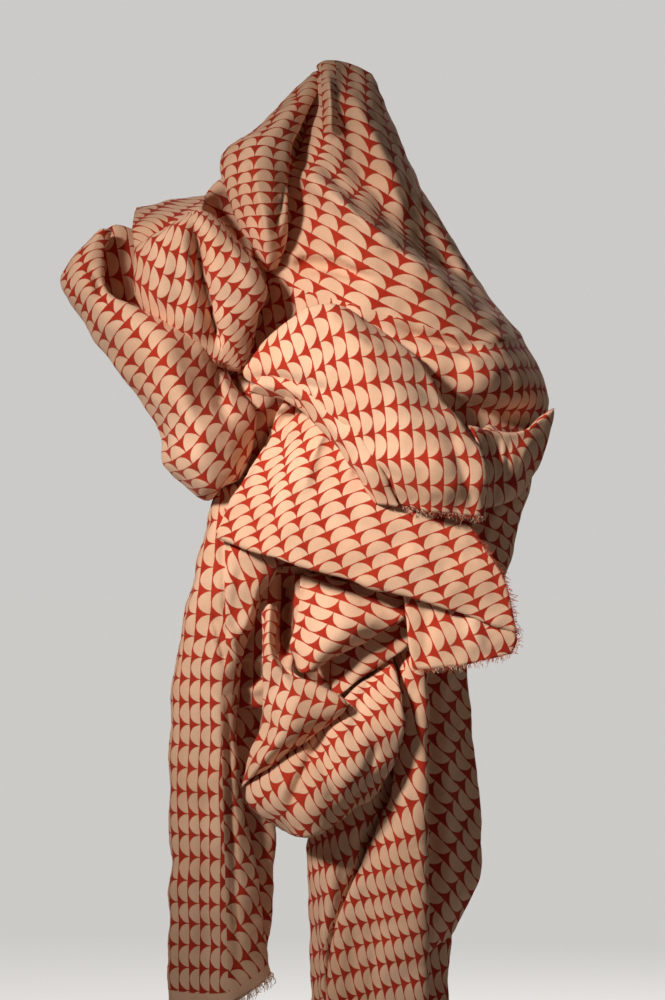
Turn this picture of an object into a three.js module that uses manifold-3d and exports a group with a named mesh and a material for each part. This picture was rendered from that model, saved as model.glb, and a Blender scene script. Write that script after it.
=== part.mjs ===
// A length of printed cotton, bunched up and hung from one point, so that it falls in folds,
// rolls and swags over its own drape and ends in two hanging tails.
//
// The cloth is one sheet. Its drape, its tails and its big rolled folds are wraps, closed round
// through a short table of sections. The folds that lie on them are panels, one for each stretch
// between two folds. A panel's border is raw, folds back on itself round a small radius, or tucks
// away into the layers behind it, where it meets the rest.
//
// Tables are in millimetres on the front elevation: across from the left, down from the top, and
// depth, which is negative towards the viewer. The part's frame has +Z up and its origin where
// the cloth hangs, at the top of the peak.
import * as THREE from 'three';
import Module from 'manifold-3d';

const wasm = await Module();
wasm.setup();

// Driving dimensions
const hangAcross = 345; // where the hanging point is on the elevation
const hangDown = 64;
const clothThickness = 2;
const clothColour = 0xc98a66;

// Borders of a panel. A fold turns right round and lies back behind the panel, and a tuck turns
// straight away from the viewer.
const raw = null;
const fold = (radius, back) => ({ radius, angle: Math.PI, back });
const tuck = (radius, back) => ({ radius, angle: Math.PI / 2, back });

const wraps = [
  {
    name: 'drape', // from the peak, over the hidden support, down to the waist
    step: 24,
    backStep: 38,
    lastFront: 'right',
    sections: [
      {
        left: [321, 69, 0], shoulder: [329, 66, -2], inner: [338, 65, -2], ridge: [347, 65, -2],
        outer: [357, 67, -2], right: [366, 70, 0], backRight: [357, 68, 2],
        backMid: [345, 66, 2], backLeft: [331, 67, 2],
      },
      {
        left: [284, 112, -2], shoulder: [304, 110, -24], inner: [330, 109, -36],
        ridge: [350, 108, -38], outer: [368, 108, -28], right: [383, 108, 2],
        backRight: [372, 110, 26], backMid: [343, 112, 36], backLeft: [306, 112, 22],
      },
      {
        left: [244, 156, 4], shoulder: [280, 160, -26], inner: [320, 163, -52],
        ridge: [354, 163, -56], outer: [388, 162, -44], right: [411, 162, 4],
        backRight: [394, 160, 44], backMid: [343, 160, 60], backLeft: [278, 158, 36],
      },
      {
        left: [200, 200, 10], shoulder: [240, 200, -8], inner: [290, 215, -40],
        ridge: [350, 216, -76], outer: [404, 216, -58], right: [441, 216, 8],
        backRight: [420, 212, 56], backMid: [330, 206, 78], backLeft: [240, 200, 46],
      },
      {
        left: [192, 276, 4], shoulder: [240, 278, -16], inner: [284, 280, -50],
        ridge: [352, 280, -92], outer: [430, 280, -74], right: [480, 280, 10],
        backRight: [458, 280, 70], backMid: [330, 280, 92], backLeft: [222, 278, 46],
      },
      {
        left: [184, 336, 2], shoulder: [236, 338, -26], inner: [286, 336, -60],
        ridge: [372, 334, -98], outer: [458, 336, -88], right: [523, 338, 6],
        backRight: [498, 338, 80], backMid: [340, 338, 98], backLeft: [216, 336, 46],
      },
      {
        left: [182, 388, 0], shoulder: [234, 390, -34], inner: [298, 386, -62],
        ridge: [396, 386, -92], outer: [482, 388, -90], right: [547, 388, 2],
        backRight: [518, 390, 72], backMid: [350, 392, 94], backLeft: [214, 390, 42],
      },
      {
        left: [186, 440, -2], shoulder: [236, 440, -42], inner: [312, 434, -62],
        ridge: [412, 434, -76], outer: [492, 432, -66], right: [545, 430, 2],
        backRight: [512, 440, 60], backMid: [350, 450, 82], backLeft: [212, 445, 34],
      },
      {
        left: [216, 498, -10], shoulder: [252, 502, -48], inner: [320, 506, -66],
        ridge: [400, 510, -68], outer: [474, 508, -62], right: [524, 506, -10],
        backRight: [500, 510, 42], backMid: [370, 514, 60], backLeft: [240, 504, 26],
      },
      {
        left: [232, 566, -16], shoulder: [262, 570, -42], inner: [320, 578, -52],
        ridge: [400, 592, -52], outer: [464, 594, -52], right: [502, 588, -30],
        backRight: [484, 594, 18], backMid: [380, 602, 44], backLeft: [262, 582, 26],
      },
    ],
    creases: [
      { is: 'lit ridge', from: [303, 166], to: [526, 338], bow: 6, wide: 17, high: 26 },
      { is: 'long trough', from: [340, 142], to: [510, 320], bow: 10, wide: 19, high: -30 },
      { is: 'outer ridge', from: [348, 88], to: [408, 222], bow: -4, wide: 13, high: 13 },
      { is: 'peak roll', from: [329, 76], to: [331, 134], bow: 0, wide: 9, high: 14 },
      { is: 'pleat', from: [296, 256], to: [350, 262], bow: 0, wide: 11, high: -12 },
      { is: 'fold under ridge', from: [398, 318], to: [482, 340], bow: 5, wide: 11, high: -11 },
      { is: 'right bulge', from: [462, 362], to: [538, 386], bow: 0, wide: 20, high: 12 },
      { is: 'bulge trough', from: [440, 388], to: [548, 420], bow: 12, wide: 13, high: -20 },
    ],
    backCreases: [
      { is: 'left fall', from: [330, 90], to: [250, 560], bow: 20, wide: 30, high: 16 },
      { is: 'middle fall', from: [346, 90], to: [366, 580], bow: 0, wide: 30, high: 16 },
      { is: 'right fall', from: [358, 100], to: [474, 560], bow: -16, wide: 30, high: 14 },
    ],
  },
  {
    name: 'leftTail', // hangs straight, and its outer strip twists forward
    step: 30,
    backStep: 44,
    lastFront: 'right',
    sections: [
      {
        left: [215, 504, -54], flat: [232, 504, -74], ridge: [252, 506, -80],
        right: [276, 510, -70], behind: [284, 508, -48], backRight: [300, 508, 6],
        backMid: [256, 508, 36], backLeft: [216, 504, 6],
      },
      {
        left: [201, 556, -52], flat: [222, 558, -76], ridge: [246, 560, -84],
        right: [276, 566, -72], behind: [276, 566, -48], backRight: [292, 566, 0],
        backMid: [246, 566, 34], backLeft: [204, 558, 2],
      },
      {
        left: [185, 622, -46], flat: [207, 620, -68], ridge: [226, 614, -82],
        right: [258, 604, -72], behind: [256, 610, -48], backRight: [280, 620, -4],
        backMid: [234, 622, 28], backLeft: [188, 622, -2],
      },
      {
        left: [174, 694, -38], flat: [200, 692, -58], ridge: [221, 690, -70],
        right: [238, 690, -52], behind: [234, 690, -32], backRight: [272, 690, -6],
        backMid: [226, 692, 24], backLeft: [178, 694, -4],
      },
      {
        left: [172, 780, -36], flat: [200, 780, -54], ridge: [222, 780, -65],
        right: [240, 780, -46], behind: [236, 780, -28], backRight: [276, 780, -6],
        backMid: [224, 780, 22], backLeft: [176, 780, -4],
      },
      {
        left: [172, 870, -36], flat: [202, 870, -52], ridge: [226, 870, -62],
        right: [256, 868, -38], behind: [250, 868, -24], backRight: [274, 868, -8],
        backMid: [224, 870, 20], backLeft: [176, 870, -6],
      },
      {
        left: [171, 930, -36], flat: [203, 930, -51], ridge: [230, 930, -59],
        right: [263, 926, -34], behind: [256, 926, -22], backRight: [270, 922, -10],
        backMid: [222, 928, 18], backLeft: [175, 930, -8],
      },
      {
        left: [171, 986, -36], flat: [204, 988, -50], ridge: [234, 984, -57],
        right: [269, 966, -32], behind: [260, 966, -22], backRight: [264, 962, -11],
        backMid: [220, 982, 17], backLeft: [175, 986, -8],
      },
    ],
    creases: [],
    backCreases: [],
  },
  {
    name: 'rightTail', // its front face, and its narrow inner fold behind that
    step: 36,
    backStep: 48,
    lastFront: 'edge',
    sections: [
      {
        innerLeft: [330, 578, -20], innerRidge: [346, 578, -34], crease: [366, 580, -30],
        front: [388, 584, -34], rib: [406, 586, -42], edge: [424, 588, -36],
        behind: [420, 590, 6], backRight: [456, 590, 20], backMid: [396, 588, 50],
        backLeft: [336, 580, 20],
      },
      {
        innerLeft: [330, 650, -36], innerRidge: [346, 650, -48], crease: [366, 650, -38],
        front: [390, 650, -44], rib: [408, 650, -62], edge: [427, 652, -54],
        behind: [414, 654, 8], backRight: [460, 656, 22], backMid: [396, 656, 52],
        backLeft: [334, 652, 14],
      },
      {
        innerLeft: [334, 724, -44], innerRidge: [354, 724, -56], crease: [390, 724, -34],
        front: [391, 724, -50], rib: [409, 724, -66], edge: [428, 724, -56],
        behind: [414, 724, 8], backRight: [464, 724, 24], backMid: [394, 724, 52],
        backLeft: [328, 724, 10],
      },
      {
        innerLeft: [332, 790, -44], innerRidge: [358, 788, -60], crease: [398, 788, -34],
        front: [392, 790, -54], rib: [410, 790, -66], edge: [428, 790, -56],
        behind: [414, 790, 8], backRight: [466, 790, 24], backMid: [390, 790, 50],
        backLeft: [318, 790, 6],
      },
      {
        innerLeft: [323, 850, -42], innerRidge: [344, 850, -60], crease: [376, 850, -34],
        front: [367, 850, -54], rib: [396, 850, -66], edge: [428, 850, -56],
        behind: [414, 850, 8], backRight: [468, 850, 24], backMid: [390, 850, 48],
        backLeft: [310, 850, 2],
      },
      {
        innerLeft: [320, 906, -38], innerRidge: [332, 904, -52], crease: [354, 904, -30],
        front: [344, 906, -50], rib: [388, 906, -64], edge: [428, 906, -56],
        behind: [414, 905, 8], backRight: [466, 906, 22], backMid: [388, 908, 46],
        backLeft: [312, 904, 0],
      },
      {
        innerLeft: [319, 958, -36], innerRidge: [326, 958, -44], crease: [338, 958, -28],
        front: [330, 958, -46], rib: [380, 958, -62], edge: [428, 958, -55],
        behind: [414, 958, 8], backRight: [464, 958, 20], backMid: [386, 960, 45],
        backLeft: [314, 956, 0],
      },
      {
        innerLeft: [319, 1024, -34], innerRidge: [325, 1026, -41], crease: [334, 1026, -26],
        front: [328, 1027, -43], rib: [376, 1030, -60], edge: [428, 1030, -54],
        behind: [414, 1029, 8], backRight: [462, 1028, 20], backMid: [384, 1030, 44],
        backLeft: [315, 1024, 0],
      },
    ],
    creases: [{ is: 'ripple', from: [366, 880], to: [360, 1030], bow: 0, wide: 14, high: -7 }],
    backCreases: [
      { is: 'fall', from: [392, 590], to: [384, 1030], bow: 6, wide: 24, high: 8 },
    ],
  },
  {
    name: 'peakLobe', // the narrow lobe on the left of the peak
    step: 19,
    backStep: 40,
    lastFront: 'right',
    sections: [
      { left: [314, 70, -6], mid: [320, 65, -14], right: [326, 72, -10], back: [320, 74, -7] },
      { left: [287, 97, -14], mid: [300, 96, -36], right: [312, 100, -30], back: [302, 102, -20] },
      { left: [263, 123, -19], mid: [284, 120, -52], right: [301, 127, -38], back: [286, 127, -24] },
      { left: [233, 148, -27], mid: [262, 144, -72], right: [291, 151, -53], back: [264, 152, -29] },
      { left: [226, 168, -36], mid: [258, 170, -85], right: [289, 181, -64], back: [262, 174, -38] },
      { left: [235, 204, -42], mid: [263, 208, -87], right: [288, 212, -64], back: [264, 206, -40] },
      { left: [249, 239, -44], mid: [268, 244, -77], right: [286, 242, -58], back: [268, 240, -38] },
      { left: [261, 269, -40], mid: [269, 272, -52], right: [278, 268, -45], back: [270, 268, -36] },
      { left: [270, 262, -12], mid: [273, 262, -18], right: [277, 262, -14], back: [274, 262, -8] },
    ],
    creases: [],
    backCreases: [],
  },
  {
    name: 'puff', // the puffed fold in the middle of the left side
    step: 21,
    backStep: 50,
    lastFront: 'right',
    sections: [
      {
        left: [177, 229, -58], inner: [189, 216, -82], outer: [206, 213, -88],
        right: [225, 226, -64], backRight: [212, 227, -42], backLeft: [190, 229, -38],
      },
      {
        left: [138, 248, -60], inner: [170, 238, -102], outer: [214, 238, -112],
        right: [248, 258, -78], backRight: [228, 252, -34], backLeft: [168, 250, -26],
      },
      {
        left: [134, 273, -60], inner: [167, 272, -108], outer: [226, 274, -116],
        right: [264, 285, -86], backRight: [236, 278, -30], backLeft: [166, 276, -18],
      },
      {
        left: [139, 303, -60], inner: [174, 304, -104], outer: [230, 306, -112],
        right: [262, 313, -86], backRight: [236, 308, -28], backLeft: [170, 306, -18],
      },
      {
        left: [156, 327, -58], inner: [186, 332, -94], outer: [226, 336, -98],
        right: [252, 345, -76], backRight: [232, 342, -34], backLeft: [180, 334, -22],
      },
      {
        left: [196, 357, -54], inner: [210, 362, -74], outer: [232, 366, -78],
        right: [244, 374, -64], backRight: [232, 370, -42], backLeft: [206, 362, -36],
      },
    ],
    creases: [{ is: 'middle trough', from: [197, 232], to: [214, 350], bow: 2, wide: 13, high: -20 }],
    backCreases: [],
  },
  {
    name: 'loop', // the wide band that leaves the left side and comes back to the waist
    step: 23,
    backStep: 46,
    lastFront: 'right',
    sections: [
      {
        left: [92, 239, -50], inner: [97, 233, -60], outer: [104, 230, -62],
        right: [112, 231, -52], backRight: [107, 235, -40], backLeft: [98, 238, -40],
      },
      {
        left: [66, 268, -48], inner: [78, 260, -68], outer: [92, 258, -78],
        right: [105, 262, -70], backRight: [98, 266, -38], backLeft: [80, 270, -30],
      },
      {
        left: [63, 290, -46], inner: [79, 288, -76], outer: [94, 288, -86],
        right: [110, 291, -78], backRight: [102, 294, -34], backLeft: [80, 294, -24],
      },
      {
        left: [92, 336, -50], inner: [110, 324, -88], outer: [127, 315, -96],
        right: [145, 313, -84], backRight: [140, 322, -30], backLeft: [114, 332, -18],
      },
      {
        left: [119, 371, -50], inner: [146, 352, -100], outer: [174, 338, -108],
        right: [200, 334, -92], backRight: [190, 344, -44], backLeft: [152, 362, -22],
      },
      {
        left: [145, 407, -50], inner: [176, 392, -110], outer: [208, 380, -114],
        right: [238, 380, -84], backRight: [226, 388, -50], backLeft: [178, 402, -22],
      },
      {
        left: [163, 436, -50], inner: [200, 434, -114], outer: [236, 424, -114],
        right: [270, 410, -84], backRight: [248, 420, -54], backLeft: [194, 438, -22],
      },
      {
        left: [167, 464, -48], inner: [200, 464, -108], outer: [232, 456, -106],
        right: [262, 442, -78], backRight: [242, 450, -54], backLeft: [194, 464, -24],
      },
      {
        left: [204, 495, -46], inner: [215, 491, -80], outer: [226, 487, -82],
        right: [240, 478, -64], backRight: [232, 484, -50], backLeft: [214, 492, -34],
      },
      {
        left: [216, 470, -12], inner: [222, 468, -20], outer: [230, 466, -22],
        right: [238, 462, -18], backRight: [234, 464, -6], backLeft: [222, 468, 0],
      },
    ],
    creases: [
      { is: 'pinch', from: [214, 350], to: [204, 432], bow: 6, wide: 14, high: -14 },
      { is: 'thin roll', from: [192, 330], to: [232, 392], bow: 4, wide: 10, high: 10 },
    ],
    backCreases: [],
  },
];

const panels = [
  {
    name: 'puffTop', // the turned-over top of the puff
    step: 20,
    sections: [
      { left: [139, 208, -22], mid: [168, 204, -30], right: [198, 203, -26] },
      { left: [134, 226, -40], mid: [162, 222, -54], right: [196, 220, -50] },
      { left: [136, 250, -38], mid: [164, 246, -52], right: [198, 242, -48] },
    ],
    borders: { left: fold(5, 0), right: tuck(4, 30), top: fold(4, 24), bottom: raw },
    creases: [],
  },
  {
    name: 'loopInside', // the far side of the loop, seen through it
    step: 24,
    sections: [
      { left: [105, 232, -34], mid: [119, 229, -38], right: [142, 236, -30] },
      { left: [94, 264, -30], mid: [119, 264, -36], right: [146, 266, -26] },
      { left: [104, 304, -30], mid: [124, 308, -34], right: [152, 318, -24] },
    ],
    borders: { left: raw, right: tuck(4, 10), top: fold(4, 0), bottom: tuck(4, 0) },
    creases: [],
  },
  {
    name: 'swell', // the bright face in front, which ends in a raw edge
    step: 22,
    sections: [
      { left: [292, 322, -112], inner: [312, 312, -122], outer: [338, 310, -124], right: [366, 324, -116] },
      { left: [262, 350, -108], inner: [306, 342, -136], outer: [360, 344, -142], right: [410, 360, -122] },
      { left: [248, 377, -102], inner: [304, 370, -140], outer: [372, 376, -154], right: [438, 402, -128] },
      { left: [280, 396, -108], inner: [330, 402, -144], outer: [396, 414, -160], right: [460, 432, -136] },
      { left: [318, 424, -118], inner: [360, 434, -150], outer: [418, 446, -164], right: [474, 456, -146] },
      { left: [350, 460, -124], inner: [384, 470, -150], outer: [430, 480, -160], right: [474, 484, -148] },
      { left: [382, 500, -124], inner: [408, 507, -140], outer: [438, 512, -150], right: [472, 515, -142] },
    ],
    borders: { left: fold(6, 0), right: tuck(14, 16), top: fold(6, 26), bottom: raw },
    creases: [
      { is: 'left lip', from: [262, 384], to: [376, 492], bow: -10, wide: 10, high: 8 },
      { is: 'lip trough', from: [286, 378], to: [392, 486], bow: -10, wide: 10, high: -7 },
    ],
  },
  {
    name: 'cuff', // the bright face as it runs away to the right
    step: 20,
    sections: [
      { left: [468, 430, -124], mid: [514, 437, -86], right: [553, 412, -52] },
      { left: [478, 454, -126], mid: [516, 454, -88], right: [547, 440, -52] },
      { left: [480, 482, -126], mid: [512, 480, -86], right: [538, 468, -50] },
      { left: [472, 508, -124], mid: [504, 500, -84], right: [526, 488, -46] },
    ],
    borders: { left: raw, right: tuck(3, 10), top: tuck(4, 20), bottom: fold(4, 0) },
    creases: [{ is: 'gather', from: [494, 436], to: [492, 500], bow: 0, wide: 12, high: -7 }],
  },
  {
    name: 'sash', // the wide band that crosses the front, down to the right
    step: 24,
    sections: [
      { left: [266, 404, -82], inner: [318, 420, -98], outer: [384, 448, -106], right: [446, 480, -106] },
      { left: [248, 452, -84], inner: [310, 462, -112], outer: [392, 492, -120], right: [462, 534, -114] },
      { left: [226, 500, -86], inner: [300, 512, -122], outer: [404, 540, -128], right: [490, 582, -116] },
      { left: [221, 531, -86], inner: [290, 556, -122], outer: [404, 590, -128], right: [509, 636, -110] },
    ],
    borders: { left: tuck(6, 12), right: raw, top: tuck(6, 34), bottom: fold(5, 26) },
    creases: [
      { is: 'first gather', from: [300, 402], to: [262, 500], bow: 6, wide: 11, high: -7 },
      { is: 'second gather', from: [324, 424], to: [286, 500], bow: 6, wide: 11, high: 7 },
    ],
  },
  {
    name: 'corner', // the sash's corner, turned under, with its raw edge below
    step: 24,
    sections: [
      { left: [405, 586, -109], mid: [446, 594, -109], right: [488, 612, -109] },
      { left: [409, 632, -106], mid: [456, 634, -108], right: [508, 638, -104] },
      { left: [415, 668, -103], mid: [462, 662, -104], right: [512, 650, -99] },
    ],
    borders: { left: fold(3, 0), right: raw, top: raw, bottom: raw },
    creases: [],
  },
  {
    name: 'pouch', // hangs from under the sash
    step: 22,
    sections: [
      { left: [304, 574, -74], mid: [350, 584, -86], right: [404, 598, -84] },
      { left: [302, 606, -80], mid: [348, 610, -102], right: [402, 614, -92] },
      { left: [293, 642, -80], mid: [330, 640, -106], right: [376, 632, -92] },
      { left: [294, 656, -76], mid: [308, 669, -94], right: [346, 650, -86] },
    ],
    borders: { left: fold(5, 0), right: tuck(4, 34), top: tuck(4, 34), bottom: fold(5, 0) },
    creases: [],
  },
  {
    name: 'pouchUnder', // the layer that shows under the pouch
    step: 24,
    sections: [
      { left: [334, 632, -66], mid: [370, 622, -72], right: [406, 616, -70] },
      { left: [334, 662, -68], mid: [368, 652, -76], right: [404, 646, -74] },
      { left: [336, 696, -70], mid: [350, 686, -74], right: [368, 672, -70] },
    ],
    borders: { left: fold(4, 0), right: tuck(4, 20), top: raw, bottom: raw },
    creases: [],
  },
  {
    name: 'pocket', // the three-cornered flap with a rim like a pocket's
    step: 20,
    sections: [
      { left: [264, 600, -74], mid: [270, 600, -84], right: [277, 602, -78] },
      { left: [265, 652, -86], mid: [271, 652, -96], right: [278, 656, -92] },
      { left: [266, 694, -86], mid: [290, 688, -104], right: [317, 685, -98] },
      { left: [258, 734, -82], mid: [294, 720, -110], right: [344, 704, -98] },
      { left: [247, 768, -80], mid: [270, 752, -100], right: [308, 738, -90] },
      { left: [242, 784, -76], mid: [247, 780, -82], right: [255, 774, -80] },
    ],
    borders: { left: tuck(4, 26), right: fold(4, 0), top: raw, bottom: raw },
    creases: [],
  },
  {
    name: 'swag', // the full fold under the pocket flap
    step: 22,
    sections: [
      { left: [256, 762, -66], mid: [322, 718, -76], right: [388, 660, -66] },
      { left: [250, 789, -82], mid: [322, 754, -108], right: [399, 700, -86] },
      { left: [258, 808, -84], mid: [322, 792, -122], right: [397, 748, -88] },
      { left: [278, 825, -78], mid: [312, 829, -106], right: [374, 792, -82] },
    ],
    borders: { left: fold(5, 0), right: tuck(6, 26), top: tuck(4, 20), bottom: fold(7, 16) },
    creases: [{ is: 'cross dent', from: [314, 742], to: [338, 800], bow: 0, wide: 12, high: -8 }],
  },
  {
    name: 'recess', // the shaded layer between the left tail and the pocket flap
    step: 40,
    sections: [
      { left: [230, 560, -50], mid: [272, 566, -56], right: [340, 590, -56] },
      { left: [230, 640, -36], mid: [276, 640, -46], right: [346, 640, -52] },
      { left: [230, 704, -34], mid: [280, 704, -42], right: [346, 706, -46] },
    ],
    borders: { left: raw, right: raw, top: raw, bottom: fold(4, 0) },
    creases: [],
  },
  {
    name: 'shadeTail', // the right tail's layer behind, in the shade, cut across at its foot
    step: 38,
    sections: [
      { left: [410, 646, -4], mid: [444, 652, -10], right: [467, 656, 2] },
      { left: [410, 760, -4], mid: [446, 760, -12], right: [475, 760, 4] },
      { left: [410, 850, -4], mid: [450, 850, -12], right: [481, 850, 6] },
      { left: [410, 905, -4], mid: [448, 900, -10], right: [475, 890, 6] },
      { left: [410, 980, -4], mid: [428, 958, -4], right: [450, 942, 4] },
    ],
    borders: { left: raw, right: fold(4, 0), top: raw, bottom: raw },
    creases: [],
  },
];

const away = new THREE.Vector3(0, 1, 0);
const { clamp, smoothstep } = THREE.MathUtils;

// A point of the tables in the part's frame.
function place([across, down, depth]) {
  return new THREE.Vector3(across - hangAcross, depth, hangDown - down);
}

function curveThrough(points, closed = false) {
  return new THREE.CatmullRomCurve3(points, closed, 'catmullrom', 0.5);
}

// Where to cut a set of like curves, so that each stretch between two of their points is cut
// into steps of about the size it asks for.
function cuts(lines, closed, stepAt) {
  const count = lines[0].length;
  const stretches = closed ? count : count - 1;
  const at = [];
  for (let i = 0; i < stretches; i++) {
    const lengths = lines.map((line) => line[i].distanceTo(line[(i + 1) % count]));
    const mean = lengths.reduce((sum, length) => sum + length, 0) / lengths.length;
    const steps = Math.max(1, Math.round(mean / stepAt(i)));
    for (let k = 0; k < steps; k++) at.push((i + k / steps) / stretches);
  }
  return closed ? at : [...at, 1];
}

// How far a crease lifts a point: full on its line, fading to the sides and past its ends.
function liftAt(point, crease) {
  const [x1, z1] = [crease.from[0] - hangAcross, hangDown - crease.from[1]];
  const [x2, z2] = [crease.to[0] - hangAcross, hangDown - crease.to[1]];
  const length = Math.hypot(x2 - x1, z2 - z1);
  const [dirX, dirZ] = [(x2 - x1) / length, (z2 - z1) / length];
  const share = ((point.x - x1) * dirX + (point.z - z1) * dirZ) / length;
  const bowed = crease.bow * 4 * share * (1 - share);
  const aside = (point.x - x1) * dirZ - (point.z - z1) * dirX - bowed;
  const ends = smoothstep(Math.min(share, 1 - share), -0.12, 0.22);
  return crease.high * ends * Math.exp(1 - Math.sqrt(1 + 3 * (aside / crease.wide) ** 2));
}

function lift(point, creases, towards) {
  const height = creases.reduce((sum, crease) => sum + liftAt(point, crease), 0);
  point.y += towards * height;
}

// Rows of points through a table of sections, from its top row to its bottom row.
function gridOf({ sections, step, backStep, lastFront }) {
  const lines = sections.map((section) => Object.values(section).map(place));
  const closed = Boolean(lastFront);
  const frontCount = closed ? Object.keys(sections[0]).indexOf(lastFront) : Infinity;
  const ribs = lines[0].map((_, i) => curveThrough(lines.map((points) => points[i])));
  const down = cuts(lines[0].map((_, i) => lines.map((points) => points[i])), false, () => step);
  const across = cuts(lines, closed, (i) => (i < frontCount ? step : backStep));
  return {
    across,
    rows: down.map((t) => {
      const row = curveThrough(ribs.map((rib) => rib.getPoint(t)), closed);
      return across.map((s) => row.getPoint(s));
    }),
  };
}

// A wrap's surface. Its creases stand out on the side they are on and fade towards its edges.
function wrapSurface(wrap) {
  const names = Object.keys(wrap.sections[0]);
  const frontShare = names.indexOf(wrap.lastFront) / names.length;
  const { across, rows } = gridOf(wrap);
  for (const row of rows) {
    row.forEach((point, j) => {
      const front = across[j] <= frontShare;
      const share = front ? across[j] / frontShare : (across[j] - frontShare) / (1 - frontShare);
      const inset = smoothstep(Math.min(share, 1 - share), 0, 0.12);
      const height = new THREE.Vector3(point.x, 0, point.z);
      lift(height, front ? wrap.creases : wrap.backCreases, front ? -1 : 1);
      point.y += height.y * inset;
    });
  }
  return { rows, closed: true, turned: { top: 0, bottom: 0, left: 0, right: 0 } };
}

// The points that carry a border on, round its turn and then straight. A turn is smaller where
// its panel is narrow.
function carriedOn(edge, inner, border, width) {
  const out = edge.clone().sub(inner).normalize();
  const into = away.clone().addScaledVector(out, -away.dot(out)).normalize();
  const radius = Math.min(border.radius, width * 0.24);
  const back = Math.min(border.back, border.angle > 2 ? width * 0.4 : Infinity);
  const point = (angle, straight) => {
    const sideways = radius * Math.sin(angle) + straight * Math.cos(angle);
    const inwards = radius * (1 - Math.cos(angle)) + straight * Math.sin(angle);
    return edge.clone().addScaledVector(out, sideways).addScaledVector(into, inwards);
  };
  const shares = border.angle > 2 ? [0.5, 1] : [1];
  const turn = shares.map((share) => point(share * border.angle, 0));
  return border.back ? [...turn, point(border.angle, back)] : turn;
}

function transposed(rows) {
  return rows[0].map((_, i) => rows.map((row) => row[i]));
}

// Rows of points with the borders at their two ends carried on.
function withEnds(rows, first, last) {
  return rows.map((row) => {
    const n = row.length;
    const width = curveThrough(row).getLength();
    const before = first ? carriedOn(row[0], row[1], first, width).reverse() : [];
    const after = last ? carriedOn(row[n - 1], row[n - 2], last, width) : [];
    return [...before, ...row, ...after];
  });
}

const turnedSteps = (border) => (border ? (border.angle > 2 ? 2 : 1) + (border.back ? 1 : 0) : 0);

// A panel's surface: its face with its creases, and its turned borders.
function panelSurface(panel) {
  const { rows } = gridOf(panel);
  rows.flat().forEach((point) => lift(point, panel.creases, -1));
  const { left, right, top, bottom } = panel.borders;
  const wide = withEnds(rows, left, right);
  return {
    rows: transposed(withEnds(transposed(wide), top, bottom)),
    closed: false,
    turned: {
      top: turnedSteps(top),
      bottom: turnedSteps(bottom),
      left: turnedSteps(left),
      right: turnedSteps(right),
    },
  };
}

// A surface given its thickness, as one closed solid. The corners where two turned borders would
// cross are left out.
function sheetOf({ rows, closed, turned }) {
  const [height, width] = [rows.length, rows[0].length];
  const columns = closed ? width : width - 1;
  const across = (j) => (closed ? (j + width) % width : clamp(j, 0, width - 1));
  const at = (i, j) => rows[clamp(i, 0, height - 1)][across(j)];
  const points = [];
  for (const side of [-0.5, 0.5]) {
    for (let i = 0; i < height; i++) {
      for (let j = 0; j < width; j++) {
        const acrossIt = at(i, j + 1).clone().sub(at(i, j - 1));
        const downIt = at(i + 1, j).clone().sub(at(i - 1, j));
        const offset = acrossIt.cross(downIt).setLength(side * clothThickness);
        points.push(...at(i, j).clone().add(offset).toArray());
      }
    }
  }
  const isTurned = (k, count, first, last) => k < first || k >= count - last;
  const isKept = (i, j) => {
    const column = closed ? (j + width) % width : j;
    if (i < 0 || i >= height - 1 || column < 0 || column >= columns) return false;
    const rowTurned = isTurned(i, height - 1, turned.top, turned.bottom);
    return !(rowTurned && isTurned(column, columns, turned.left, turned.right));
  };
  const faces = [];
  const layer = height * width;
  const quad = (a, b, c, d) => faces.push(a, b, c, a, c, d);
  for (let i = 0; i < height - 1; i++) {
    for (let j = 0; j < columns; j++) {
      if (!isKept(i, j)) continue;
      const [a, b] = [i * width + j, i * width + across(j + 1)];
      const [c, d] = [b + width, a + width];
      quad(a, d, c, b);
      quad(a + layer, b + layer, c + layer, d + layer);
      if (!isKept(i - 1, j)) quad(a, b, b + layer, a + layer);
      if (!isKept(i, j + 1)) quad(b, c, c + layer, b + layer);
      if (!isKept(i + 1, j)) quad(c, d, d + layer, c + layer);
      if (!isKept(i, j - 1)) quad(d, a, a + layer, d + layer);
    }
  }
  return new wasm.Manifold(
    new wasm.Mesh({
      numProp: 3,
      vertProperties: new Float32Array(points),
      triVerts: new Uint32Array(faces),
    }),
  );
}

function geometryOf(solid) {
  const { vertProperties, triVerts } = solid.getMesh();
  return new THREE.BufferGeometry()
    .setAttribute('position', new THREE.BufferAttribute(vertProperties, 3))
    .setIndex(new THREE.BufferAttribute(triVerts, 1));
}

const surfaces = [...wraps.map(wrapSurface), ...panels.map(panelSurface)];
const joined = surfaces.map(sheetOf).reduce((whole, sheet) => whole.add(sheet));

const material = new THREE.MeshStandardMaterial({
  color: clothColour,
  roughness: 0.9,
  metalness: 0,
});
const cloth = new THREE.Mesh(geometryOf(joined), material);
cloth.name = 'cloth';

const part = new THREE.Group();
part.add(cloth);
export default part;
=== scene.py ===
import math

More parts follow.
